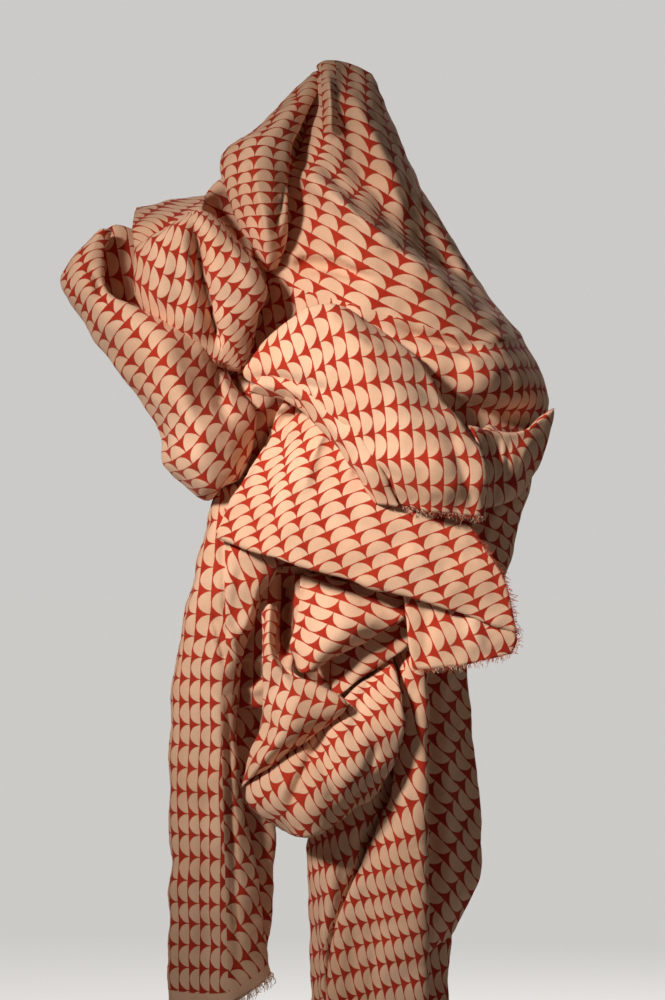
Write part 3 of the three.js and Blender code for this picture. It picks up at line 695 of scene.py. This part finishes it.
# The drape: the peak, its shoulders and the bulge, down to where the tails begin.
drape = {
    "frontColumns": 6,
    "shut": ("top",),
    "sections": [
        ((315, 65, -12), (322, 59, -20), (334, 58, -18), (347, 60, -10), (360, 64, -5), (372, 71, 0),
         (358, 67, 4), (345, 64, 4), (329, 63, 2)),
        ((313, 74, -8), (321, 76, -26), (334, 76, -27), (348, 76, -20), (364, 76, -12), (378, 82, 2),
         (364, 80, 12), (344, 78, 14), (322, 76, 8)),
        ((284, 112, -2), (304, 110, -24), (330, 109, -36), (351, 108, -38), (371, 107, -28), (388, 106, 2),
         (374, 110, 26), (343, 112, 36), (306, 112, 22)),
        ((244, 156, 4), (280, 160, -26), (320, 163, -52), (354, 163, -56), (388, 162, -44), (411, 162, 4),
         (394, 160, 44), (343, 160, 60), (278, 158, 36)),
        ((200, 200, 10), (240, 200, -8), (290, 215, -40), (350, 216, -76), (404, 216, -58), (441, 216, 8),
         (420, 212, 56), (330, 206, 78), (240, 200, 46)),
        ((192, 276, 4), (240, 278, -16), (284, 280, -50), (352, 280, -92), (430, 280, -74), (480, 280, 10),
         (458, 280, 70), (330, 280, 92), (222, 278, 46)),
        ((184, 336, 2), (236, 338, -26), (286, 336, -60), (372, 334, -98), (458, 336, -88), (523, 338, 6),
         (498, 338, 80), (340, 338, 98), (216, 336, 46)),
        ((182, 388, 0), (234, 390, -34), (298, 386, -62), (396, 386, -92), (482, 388, -90), (547, 388, 2),
         (518, 390, 72), (350, 392, 94), (214, 390, 42)),
        ((186, 440, -2), (236, 440, -42), (312, 434, -62), (412, 434, -76), (492, 432, -66), (545, 430, 2),
         (512, 440, 60), (350, 450, 82), (212, 445, 34)),
        ((216, 498, -10), (252, 502, -48), (320, 506, -66), (400, 510, -68), (474, 508, -62),
         (524, 506, -10), (500, 510, 42), (370, 514, 60), (240, 504, 26)),
        ((232, 566, -16), (262, 570, -42), (320, 578, -52), (400, 592, -52), (464, 594, -52),
         (502, 588, -30), (484, 590, 18), (380, 616, 42), (262, 588, 26)),
    ],
    "creases": [
        (303, 166, 526, 338, 6, 17, 26), (340, 142, 510, 320, 10, 19, -30),
        (348, 88, 408, 222, -4, 13, 13), (329, 76, 331, 134, 0, 9, 14), (296, 256, 350, 262, 0, 11, -12),
        (398, 318, 482, 340, 5, 11, -11), (462, 362, 538, 386, 0, 20, 12),
        (440, 388, 548, 420, 12, 13, -20),
    ],
    "backCreases": [
        (330, 90, 250, 560, 20, 30, 16), (346, 90, 366, 580, 0, 30, 16),
        (358, 100, 474, 560, -16, 30, 14),
    ],
    "wrinkles": [
        (311, 84, 298, 172, 3, 10, -34), (328, 72, 332, 134, 0, 5, 10), (331, 128, 348, 156, 0, 5, 7),
        (296, 168, 470, 298, 6, 9, 8), (314, 158, 470, 276, 12, 11, -18), (352, 150, 436, 262, 4, 8, 6),
        (374, 150, 452, 262, 2, 7, -5), (288, 256, 352, 262, -3, 4.5, 9),
        (290, 267, 366, 280, -4, 7, -13), (340, 262, 430, 300, -3, 5, 5), (392, 316, 484, 341, 4, 6, 8),
        (394, 329, 486, 353, 4, 5, -13), (484, 342, 528, 336, -2, 5, 5), (470, 470, 500, 500, 0, 6, -6),
        (500, 500, 480, 580, 3, 7, 6), (288, 396, 246, 490, 0, 14, -42),
        (208, 196, 256, 264, -4, 15, -38),
    ],
    "spots": ((330, 216, -28), (394, 131, -33), (439, 292, -31), (337, 282, -30), (356, 98, -26),
              (451, 231, -26)),
    "zones": [
        {"spots": ((481, 362, -63, 11.5, 21.5),), "past": ((398, 320, 484, 346),)},
        {"spots": ((481, 362, -63, 11.5, 21.5),), "past": ((484, 346, 532, 336),)},
        {"spots": ((489, 542, 156),), "past": ((440, 474, 560, 474),)},
        {"spots": ((330, 100, -4, 8.6),),
         "past": ((323, 140, 321, 60), (336, 60, 338, 135), (360, 133, 300, 133))},
    ],
}
clothPiece("drape", drape)

# The left tail, down to the selvedge.
leftTail = {
    "frontColumns": 4,
    "sections": [
        ((218, 484, -48), (234, 484, -66), (254, 486, -72), (276, 490, -64), (284, 488, -44), (300, 488, 6),
         (256, 488, 34), (220, 484, 4)),
        ((201, 556, -52), (222, 558, -76), (246, 560, -84), (276, 566, -72), (276, 566, -48), (292, 566, 0),
         (246, 566, 34), (204, 558, 2)),
        ((185, 622, -46), (207, 620, -68), (226, 614, -82), (258, 604, -72), (256, 610, -48),
         (280, 620, -4), (234, 622, 28), (188, 622, -2)),
        ((174, 694, -38), (200, 692, -58), (221, 690, -70), (238, 690, -52), (234, 690, -32),
         (272, 690, -6), (226, 692, 24), (178, 694, -4)),
        ((172, 780, -36), (200, 780, -54), (222, 780, -65), (240, 780, -46), (236, 780, -28),
         (276, 780, -6), (224, 780, 22), (176, 780, -4)),
        ((172, 870, -36), (202, 870, -52), (226, 870, -62), (256, 868, -38), (250, 868, -24),
         (274, 868, -8), (224, 870, 20), (176, 870, -6)),
        ((171, 930, -36), (203, 930, -51), (230, 930, -59), (263, 926, -34), (256, 926, -22),
         (270, 922, -10), (222, 928, 18), (175, 930, -8)),
        ((171, 1003, -36), (204, 1005, -50), (236, 1000, -57), (271, 975, -32), (262, 974, -22),
         (264, 970, -11), (220, 998, 17), (175, 1003, -8)),
    ],
    "wrinkles": [
        (222, 500, 227, 625, 0, 4, -6), (214, 612, 226, 664, 0, 4, -9), (226, 612, 240, 664, 0, 5, 6),
        (186, 600, 180, 1000, 0, 4, -2.5), (197, 640, 193, 1000, 0, 5, 2.5),
        (211, 640, 207, 1000, 0, 5, -2.5), (227, 700, 238, 970, 0, 4, -7),
        (240, 560, 226, 640, -3, 7, -5), (262, 570, 238, 640, -4, 6, 5),
    ],
    "selvedge": True,
    "frayed": [{"edge": "bottom", "between": (0, 1), "apart": 0.55, "long": 9, "tone": "pale"}],
    "spots": ((199, 602, 85, 11.5, 23.4), (190, 690, 87, 10.5, 23.4), (198, 780, 88, 10.5, 23.4),
              (200, 868, 88, 10.5, 23.2), (200, 956, 88, 10.5, 22.8)),
    "zones": [
        {"spots": ((248, 617, 106, 9.5, 24), (260, 591, 94, 9, 24), (234, 650, 128, 10.5, 24)),
         "past": ((240, 672, 213, 612), (227, 700, 225, 500))},
        {"spots": ((250, 898, -55), (241, 847, -55)),
         "past": ((229, 1000, 221, 700), (220, 694, 300, 694))},
    ],
}
clothPiece("leftTail", leftTail)

# The right tail, cut off square below.
rightTail = {
    "frontColumns": 6,
    "sections": [
        ((330, 578, -20), (346, 578, -34), (366, 580, -30), (388, 584, -34), (406, 586, -42),
         (424, 588, -36), (420, 584, 6), (438, 574, 20), (394, 566, 30), (336, 572, 14)),
        ((330, 650, -36), (346, 650, -48), (366, 650, -38), (390, 650, -44), (408, 650, -62),
         (427, 652, -54), (414, 654, 8), (450, 656, 40), (396, 656, 50), (334, 652, 14)),
        ((334, 724, -44), (354, 724, -56), (390, 724, -34), (391, 724, -50), (409, 724, -66),
         (428, 724, -56), (414, 724, 8), (452, 724, 48), (394, 724, 58), (328, 724, 10)),
        ((332, 790, -44), (358, 788, -60), (398, 788, -34), (392, 790, -54), (410, 790, -66),
         (428, 790, -56), (414, 790, 8), (454, 790, 48), (390, 790, 56), (318, 790, 6)),
        ((323, 850, -42), (344, 850, -60), (376, 850, -34), (367, 850, -54), (396, 850, -66),
         (428, 850, -56), (414, 850, 8), (456, 850, 48), (390, 850, 56), (310, 850, 2)),
        ((320, 906, -38), (332, 904, -52), (354, 904, -30), (344, 906, -50), (388, 906, -64),
         (428, 906, -56), (414, 905, 8), (454, 906, 48), (388, 908, 54), (312, 904, 0)),
        ((319, 958, -36), (326, 958, -44), (338, 958, -28), (330, 958, -46), (380, 958, -62),
         (428, 958, -55), (414, 958, 8), (452, 958, 44), (386, 960, 52), (314, 956, 0)),
        ((319, 1024, -34), (325, 1026, -41), (334, 1026, -26), (328, 1027, -43), (376, 1030, -60),
         (428, 1030, -54), (414, 1029, 8), (450, 1028, 42), (384, 1030, 50), (315, 1024, 0)),
    ],
    "creases": [
        (366, 880, 360, 1030, 0, 14, -7),
    ],
    "backCreases": [
        (392, 590, 384, 1030, 6, 24, 8),
    ],
    "wrinkles": [
        (354, 925, 350, 1030, 0, 4, -4), (364, 905, 360, 1030, 0, 5, 4), (376, 915, 370, 1030, 0, 5, -4),
        (346, 830, 338, 900, 0, 5, -4), (356, 820, 350, 880, 0, 5, 3),
    ],
    "spots": ((402, 761, 111, 9.6, 25), (385, 880, 105, 9.4, 24), (418, 690, 108, 10.5, 25),
              (380, 975, 103, 9.4, 24)),
    "zones": [
        {"spots": ((332, 904, 97, 8, 24),), "past": ((405, 665, 400, 740), (400, 740, 330, 930))},
    ],
}
clothPiece("rightTail", rightTail)

# The roll that falls from the left of the peak.
peakLobe = {
    "frontColumns": 3,
    "shut": ("top", "bottom"),
    "sections": [
        ((311, 72, -4), (317, 68, -12), (323, 74, -10), (318, 76, -5)),
        ((283, 98, -14), (300, 96, -36), (312, 100, -30), (302, 102, -20)),
        ((257, 124, -19), (284, 120, -52), (301, 127, -38), (286, 127, -24)),
        ((227, 145, -27), (262, 144, -72), (291, 151, -53), (264, 152, -29)),
        ((219, 167, -36), (258, 170, -85), (289, 181, -64), (262, 174, -38)),
        ((229, 200, -42), (263, 208, -87), (288, 212, -64), (264, 206, -40)),
        ((246, 238, -44), (268, 244, -77), (286, 242, -58), (268, 240, -38)),
        ((261, 269, -40), (269, 272, -52), (278, 268, -45), (270, 268, -36)),
        ((270, 262, -12), (273, 262, -18), (277, 262, -14), (274, 262, -8)),
    ],
    "wrinkles": [
        (242, 148, 263, 240, 1, 4, -9), (250, 150, 268, 240, 1, 5, 6), (283, 176, 274, 236, -2, 4, -8),
        (291, 184, 284, 232, 0, 4, 4),
    ],
    "spots": ((265, 160, -6, 12.3, 18.5), (262, 206, 0, 11.8, 18), (286, 113, 10, 7.5),
              (306, 90, 16, 6.3)),
}
clothPiece("peakLobe", peakLobe)

# The puffed fold at the left, under the roll.
puff = {
    "frontColumns": 4,
    "shut": ("top", "bottom"),
    "sections": [
        ((177, 229, -58), (189, 216, -82), (206, 213, -88), (225, 226, -64), (212, 227, -42),
         (190, 229, -38)),
        ((138, 248, -60), (170, 238, -102), (214, 236, -110), (247, 254, -84), (228, 252, -34),
         (168, 250, -26)),
        ((134, 273, -60), (167, 272, -108), (228, 274, -114), (268, 287, -92), (236, 278, -30),
         (166, 276, -18)),
        ((139, 303, -60), (174, 304, -104), (230, 308, -110), (259, 318, -90), (236, 308, -28),
         (170, 306, -18)),
        ((156, 327, -58), (186, 332, -94), (226, 336, -98), (252, 345, -76), (232, 342, -34),
         (180, 334, -22)),
        ((196, 357, -54), (210, 362, -74), (232, 366, -78), (244, 374, -64), (232, 370, -42),
         (206, 362, -36)),
    ],
    "creases": [
        (195, 228, 220, 350, 2, 11, -20),
    ],
    "wrinkles": [
        (197, 232, 220, 340, 2, 5, -12), (176, 236, 182, 318, 0, 6, -3), (188, 236, 204, 326, 2, 5, 5),
        (158, 240, 164, 312, 0, 6, 2), (232, 228, 258, 300, 3, 8, 4),
    ],
    "spots": ((152, 277, -104, 9, 25), (178, 270, -99, 10.5, 25), (186, 322, -96, 9.6, 24)),
    "zones": [
        {"spots": ((235, 275, -124, 11.8, 24),), "past": ((222, 345, 195, 225),)},
    ],
}
clothPiece("puff", puff)

# The long loop at the far left, which comes back under the puff.
loop = {
    "frontColumns": 4,
    "shut": ("top", "bottom"),
    "sections": [
        ((92, 239, -50), (97, 233, -60), (104, 230, -62), (112, 231, -52), (107, 235, -40), (98, 238, -40)),
        ((66, 268, -48), (78, 260, -68), (92, 258, -78), (105, 262, -70), (98, 266, -38), (80, 270, -30)),
        ((63, 290, -46), (79, 288, -76), (94, 288, -86), (110, 291, -78), (102, 294, -34), (80, 294, -24)),
        ((92, 336, -50), (110, 324, -88), (127, 315, -96), (145, 313, -84), (140, 322, -30),
         (114, 332, -18)),
        ((119, 371, -50), (143, 353, -100), (168, 341, -110), (204, 338, -64), (190, 344, -40),
         (152, 362, -22)),
        ((145, 407, -50), (172, 394, -110), (196, 388, -108), (236, 388, -56), (222, 392, -38),
         (178, 402, -22)),
        ((160, 434, -50), (194, 436, -110), (220, 430, -103), (255, 416, -60), (240, 424, -40),
         (194, 438, -22)),
        ((166, 467, -50), (197, 470, -104), (228, 462, -97), (252, 446, -64), (238, 452, -46),
         (194, 464, -24)),
        ((207, 501, -46), (217, 494, -80), (226, 487, -82), (240, 478, -64), (232, 484, -50),
         (214, 492, -34)),
        ((216, 470, -12), (222, 468, -20), (230, 466, -22), (238, 462, -18), (234, 464, -6), (222, 468, 0)),
    ],
    "creases": [
        (214, 350, 206, 424, 6, 14, -6), (196, 334, 236, 392, 4, 8, 8),
    ],
    "wrinkles": [
        (218, 352, 228, 424, 4, 8, -14), (232, 356, 242, 396, 2, 4, 8), (84, 262, 104, 304, -4, 5, -5),
        (172, 452, 226, 486, 3, 7, -4),
    ],
    "spots": ((118, 335, 51, 12.5, 26), (163, 344, 47, 13, 26), (204, 456, 46, 12.5, 25),
              (190, 410, 49, 12.5, 26), (96, 252, 20, 7.5), (80, 284, 48, 8.5)),
}
clothPiece("loop", loop)

# The top of the puff, folded down behind it.
puffTop = {
    "sections": [
        ((134, 202, 22), (168, 197, 20), (199, 193, 12)),
        ((132, 222, -26), (162, 216, -38), (199, 208, -36)),
        ((134, 244, -40), (164, 240, -54), (199, 232, -52)),
        ((138, 264, -36), (168, 260, -50), (202, 250, -50)),
    ],
    "borders": {"right": tuck(4, 10), "top": fold(4, 16)},
    "wrinkles": [
        (134, 218, 196, 212, 0, 4, -3),
    ],
    "spots": ((160, 214, -17, 6.5, 26), (148, 228, -22, 6.8, 26)),
}
clothPiece("puffTop", puffTop)

# The inside of the long loop.
loopInside = {
    "sections": [
        ((105, 232, -34), (119, 229, -38), (142, 236, -30)),
        ((94, 264, -30), (119, 264, -36), (146, 266, -26)),
        ((104, 304, -30), (124, 308, -34), (152, 318, -24)),
    ],
    "borders": {"right": tuck(4, 10), "top": fold(4, 0), "bottom": tuck(4, 0)},
    "spots": ((119, 262, -80),),
}
clothPiece("loopInside", loopInside)

# The swelling fold that crosses the middle.
swell = {
    "sections": [
        ((292, 322, -112), (312, 312, -122), (338, 310, -124), (366, 324, -116)),
        ((262, 350, -108), (306, 342, -136), (360, 344, -142), (410, 360, -122)),
        ((248, 377, -102), (304, 370, -140), (372, 376, -154), (438, 402, -128)),
        ((280, 396, -108), (330, 402, -144), (396, 414, -160), (460, 432, -136)),
        ((318, 424, -118), (360, 434, -150), (418, 446, -164), (474, 456, -146)),
        ((350, 460, -124), (384, 470, -150), (430, 480, -160), (474, 484, -148)),
        ((382, 500, -120), (408, 508, -131), (438, 513, -137), (472, 516, -131)),
    ],
    "borders": {"left": fold(6, 0), "right": tuck(14, 16), "top": fold(6, 26)},
    "creases": [
        (262, 384, 376, 492, -10, 10, 6),
    ],
    "wrinkles": [
        (246, 379, 330, 394, -4, 6, -6), (330, 322, 420, 372, 6, 7, 4), (448, 428, 470, 506, 2, 7, -5),
    ],
    "spots": ((283, 355, -73), (363, 373, -80), (424, 445, -84), (427, 473, -86)),
    "frayed": [{"edge": "bottom", "between": (0.1, 0.86), "apart": 0.9, "long": 6, "tone": "mixed"}],
}
clothPiece("swell", swell)

# The rolled hem along the swell's lower edge.
swellHem = {
    "sections": [
        ((249, 395, -106), (255, 387, -118), (262, 379, -116)),
        ((284, 400, -114), (290, 392, -129), (298, 383, -127)),
        ((308, 416, -120), (316, 409, -137), (326, 401, -136)),
        ((332, 442, -126), (340, 436, -144), (352, 430, -148)),
        ((354, 474, -130), (363, 471, -147), (377, 468, -150)),
        ((374, 504, -122), (383, 505, -133), (397, 507, -133)),
    ],
    "borders": {"left": fold(3, 4), "right": fold(2, 3)},
    "spots": ((316, 409, -60, 10),),
}
clothPiece("swellHem", swellHem)

# The turned cuff at the swell's right end.
cuff = {
    "sections": [
        ((468, 430, -124), (514, 437, -86), (553, 412, -52)),
        ((478, 454, -126), (516, 454, -88), (547, 440, -52)),
        ((480, 482, -126), (512, 480, -86), (538, 468, -50)),
        ((472, 508, -124), (504, 500, -84), (526, 488, -46)),
    ],
    "borders": {"right": tuck(3, 10), "top": tuck(4, 20), "bottom": fold(4, 0)},
    "creases": [
        (494, 436, 492, 500, 0, 12, -7),
    ],
    "wrinkles": [
        (486, 440, 484, 502, 1, 3.5, -4), (497, 440, 495, 500, 1, 3.5, -4),
        (507, 440, 505, 498, 1, 3.5, -3), (530, 436, 516, 496, 2, 7, 4),
    ],
    "spots": ((492, 470, -86, 8.2, 27), (528, 452, -62, 11, 25)),
}
clothPiece("cuff", cuff)

# The sash that is drawn across under the swell.
sash = {
    "sections": [
        ((288, 402, -78), (326, 420, -98), (384, 448, -106), (448, 478, -106)),
        ((268, 452, -82), (318, 462, -112), (392, 492, -120), (471, 530, -114)),
        ((236, 498, -86), (304, 512, -122), (404, 540, -128), (501, 576, -114)),
        ((219, 533, -86), (290, 558, -122), (404, 591, -128), (514, 628, -108)),
    ],
    "borders": {"left": tuck(6, 12), "top": tuck(6, 34), "bottom": fold(5, 26)},
    "creases": [
        (300, 402, 262, 500, 6, 11, -7), (324, 424, 286, 500, 6, 11, 7),
    ],
    "wrinkles": [
        (290, 412, 246, 500, 5, 5, -7), (300, 418, 262, 505, 5, 5, 7), (314, 424, 284, 496, 4, 5, -7),
        (326, 432, 306, 490, 3, 5, 6), (336, 440, 352, 476, -3, 6, 5), (300, 505, 470, 556, 4, 12, -3),
        (244, 500, 268, 544, 0, 7, -4),
    ],
    "spots": ((338, 527, 24), (298, 469, 30, 10), (363, 517, 20), (445, 569, 22), (241, 516, 29, 11),
              (290, 434, 44, 8.5)),
    "frayed": [{"edge": "right", "between": (0.35, 0.86), "apart": 0.8, "long": 6, "tone": "red"}],
}
clothPiece("sash", sash)

# The cut corner that hangs from the sash.
corner = {
    "sections": [
        ((405, 586, -109), (446, 594, -109), (492, 612, -109)),
        ((409, 632, -106), (456, 634, -108), (514, 634, -104)),
        ((414, 668, -103), (462, 663, -104), (510, 652, -99)),
    ],
    "borders": {"left": fold(3, 0)},
    "wrinkles": [
        (424, 598, 424, 660, 0, 6, -3), (470, 612, 480, 650, 0, 8, 3),
    ],
    "spots": ((454, 627, -65),),
    "frayed": [
        {"edge": "bottom", "between": (0.06, 1), "apart": 0.9, "long": 4.5, "tone": "mixed"},
        {"edge": "right", "between": (0.3, 1), "apart": 0.9, "long": 5, "tone": "red"},
    ],
}
clothPiece("corner", corner)

# The small pouch under the sash.
pouch = {
    "sections": [
        ((304, 574, -74), (350, 584, -86), (404, 598, -84)),
        ((302, 606, -80), (348, 610, -102), (402, 614, -92)),
        ((293, 642, -80), (330, 640, -106), (376, 632, -92)),
        ((294, 656, -76), (308, 669, -94), (346, 650, -86)),
    ],
    "borders": {"left": fold(5, 0), "right": tuck(4, 34), "top": tuck(4, 34), "bottom": fold(5, 0)},
    "wrinkles": [
        (306, 580, 310, 650, 3, 5, -6), (318, 600, 372, 632, 4, 8, 4), (330, 584, 396, 606, -3, 7, -4),
    ],
    "spots": ((346, 615, 157),),
}
clothPiece("pouch", pouch)

# The layer under the pouch.
pouchUnder = {
    "sections": [
        ((334, 632, -66), (370, 622, -72), (406, 616, -70)),
        ((334, 662, -68), (368, 652, -76), (404, 646, -74)),
        ((336, 696, -70), (350, 686, -74), (368, 672, -70)),
    ],
    "borders": {"left": fold(4, 0), "right": tuck(4, 20)},
    "spots": ((368, 650, 150),),
}
clothPiece("pouchUnder", pouchUnder)

# The pointed pocket beside the left tail.
pocket = {
    "sections": [
        ((262, 612, -70), (270, 603, -84), (279, 610, -72)),
        ((264, 652, -86), (271, 652, -96), (279, 657, -90)),
        ((266, 694, -86), (290, 688, -104), (317, 685, -98)),
        ((258, 734, -82), (294, 720, -110), (344, 704, -98)),
        ((247, 768, -80), (270, 752, -100), (308, 738, -90)),
        ((242, 784, -76), (247, 780, -82), (255, 774, -80)),
    ],
    "borders": {"left": tuck(4, 12), "right": fold(4, 0)},
    "wrinkles": [
        (282, 672, 262, 740, 3, 6, -4), (306, 690, 270, 752, 4, 7, 4),
    ],
    "spots": ((287, 699, 68, 11.5, 21), (286, 736, 66, 10.5, 19)),
    "zones": [
        {"spots": ((271, 632, 2, 11),), "past": ((300, 657, 250, 657),)},
    ],
}
clothPiece("pocket", pocket)

# The swag under the pocket.
swag = {
    "sections": [
        ((256, 762, -66), (322, 718, -76), (388, 660, -66)),
        ((250, 789, -82), (322, 754, -108), (399, 700, -86)),
        ((258, 808, -84), (322, 792, -122), (397, 748, -88)),
        ((278, 825, -78), (312, 829, -106), (374, 792, -82)),
    ],
    "borders": {"left": fold(5, 0), "right": tuck(6, 26), "top": tuck(4, 20), "bottom": fold(7, 16)},
    "creases": [
        (314, 742, 338, 800, 0, 12, -8),
    ],
    "wrinkles": [
        (330, 722, 290, 812, 5, 6, -11), (352, 796, 376, 742, 3, 6, -6), (308, 752, 276, 806, 4, 8, 6),
        (372, 676, 352, 740, 4, 6, -5),
    ],
    "spots": ((280, 797, 127, 9.4, 24), (364, 732, 122, 9.6, 24), (340, 772, 126, 9.6, 24),
              (312, 772, 123, 8.8, 24)),
}
clothPiece("swag", swag)

# The cloth in the recess behind the pouch and the pocket.
recess = {
    "sections": [
        ((230, 560, -50), (272, 566, -56), (340, 590, -56)),
        ((230, 640, -36), (276, 640, -46), (346, 640, -52)),
        ((230, 704, -34), (280, 704, -42), (346, 706, -46)),
    ],
    "borders": {"bottom": fold(4, 0)},
    "wrinkles": [
        (232, 652, 262, 660, 2, 5, 6), (232, 668, 262, 676, 2, 5, -6), (230, 684, 262, 690, 2, 5, 7),
        (310, 664, 336, 692, 0, 8, -16), (286, 572, 284, 660, 0, 8, -40),
    ],
    "spots": ((280, 640, 90),),
}
clothPiece("recess", recess)

# The short tail in the shade at the right.
shadeTail = {
    "sections": [
        ((412, 646, -2), (444, 652, 12), (467, 656, 38)),
        ((412, 760, -2), (446, 760, 12), (476, 760, 42)),
        ((412, 850, -2), (450, 850, 12), (484, 850, 44)),
        ((412, 905, -2), (448, 900, 12), (478, 892, 42)),
        ((412, 980, -2), (428, 960, 6), (452, 942, 34)),
    ],
    "borders": {"right": fold(4, 0)},
    "wrinkles": [
        (446, 660, 452, 900, 2, 9, 6), (430, 660, 432, 940, 0, 7, -5),
    ],
    "spots": ((460, 771, 131, 12, 25),),
}
clothPiece("shadeTail", shadeTail)

studio = {
    "floorDown": -1.3,
    "floorWide": 40,
    "floorColour": (0.78, 0.77, 0.75, 1),
    "floorGlow": 0.73,                     # as the camera sees it, so that no horizon shows
    "lens": 180,
    "cameraAt": (-0.0125, -5.04, -0.436),
    "lookAt": (0.095, -0.1, -0.465),
    "key": {"at": (-1.5, -1.95, 0.7), "wide": 0.42, "spread": 24, "power": 1.95, "colour": (1.0, 0.92, 0.85)},
    "fill": {"at": (2.4, -2.6, 0.2), "wide": 2.0, "spread": 180, "power": 2.2, "colour": (1.0, 0.86, 0.74)},
    "back": {"at": (0.8, 3.0, 1.4), "wide": 2.0, "spread": 180, "power": 50, "colour": (1.0, 0.97, 0.94)},
    "shade": (0.045, 0.038, 0.033, 1),     # the light all round, and how it looks behind the cloth
    "backdrop": (0.60, 0.59, 0.575, 1),
}


def softLight(name, lamp):
    light = bpy.data.lights.new(name, "AREA")
    light.shape = "DISK"
    light.size = lamp["wide"]
    light.spread = math.radians(lamp["spread"])
    light.energy = lamp["power"]
    light.color = lamp["colour"]
    obj = newObject(name, light)
    obj.location = lamp["at"]
    towards = Vector(studio["lookAt"]) - Vector(lamp["at"])
    obj.rotation_euler = towards.to_track_quat("-Z", "Y").to_euler()


for title in ("key", "fill", "back"):
    softLight(title + "Light", studio[title])

world = bpy.data.worlds.new("studio")
scene.world = world
world.use_nodes = True
sky = Shader(world.node_tree)
seen = sky.node("ShaderNodeLightPath").outputs["Is Camera Ray"]
skyColour = sky.mix(seen, studio["shade"], studio["backdrop"])
sky.link(skyColour, world.node_tree.nodes["Background"].inputs["Color"])

bm = bmesh.new()
bmesh.ops.create_grid(bm, x_segments=1, y_segments=1, size=studio["floorWide"])
bmesh.ops.translate(bm, verts=bm.verts, vec=(0, 0, studio["floorDown"]))
floorMesh = bpy.data.meshes.new("floor")
bm.to_mesh(floorMesh)
bm.free()
floor = newObject("floor", floorMesh)
paper, paperShader, paperSurface = newMaterial("pale floor")
paperSurface.inputs["Base Color"].default_value = studio["floorColour"]
paperSurface.inputs["Emission Color"].default_value = studio["floorColour"]
paperSurface.inputs["Roughness"].default_value = 0.9
seenFloor = paperShader.node("ShaderNodeLightPath").outputs["Is Camera Ray"]
glow = paperShader.math("MULTIPLY", seenFloor, studio["floorGlow"])
paperShader.link(glow, paperSurface.inputs["Emission Strength"])
floorMesh.materials.append(paper)

lens = bpy.data.cameras.new("camera")
lens.lens = studio["lens"]
camera = newObject("camera", lens)
camera.location = studio["cameraAt"]
camera.rotation_euler = (math.pi / 2, 0, 0)
scene.camera = camera
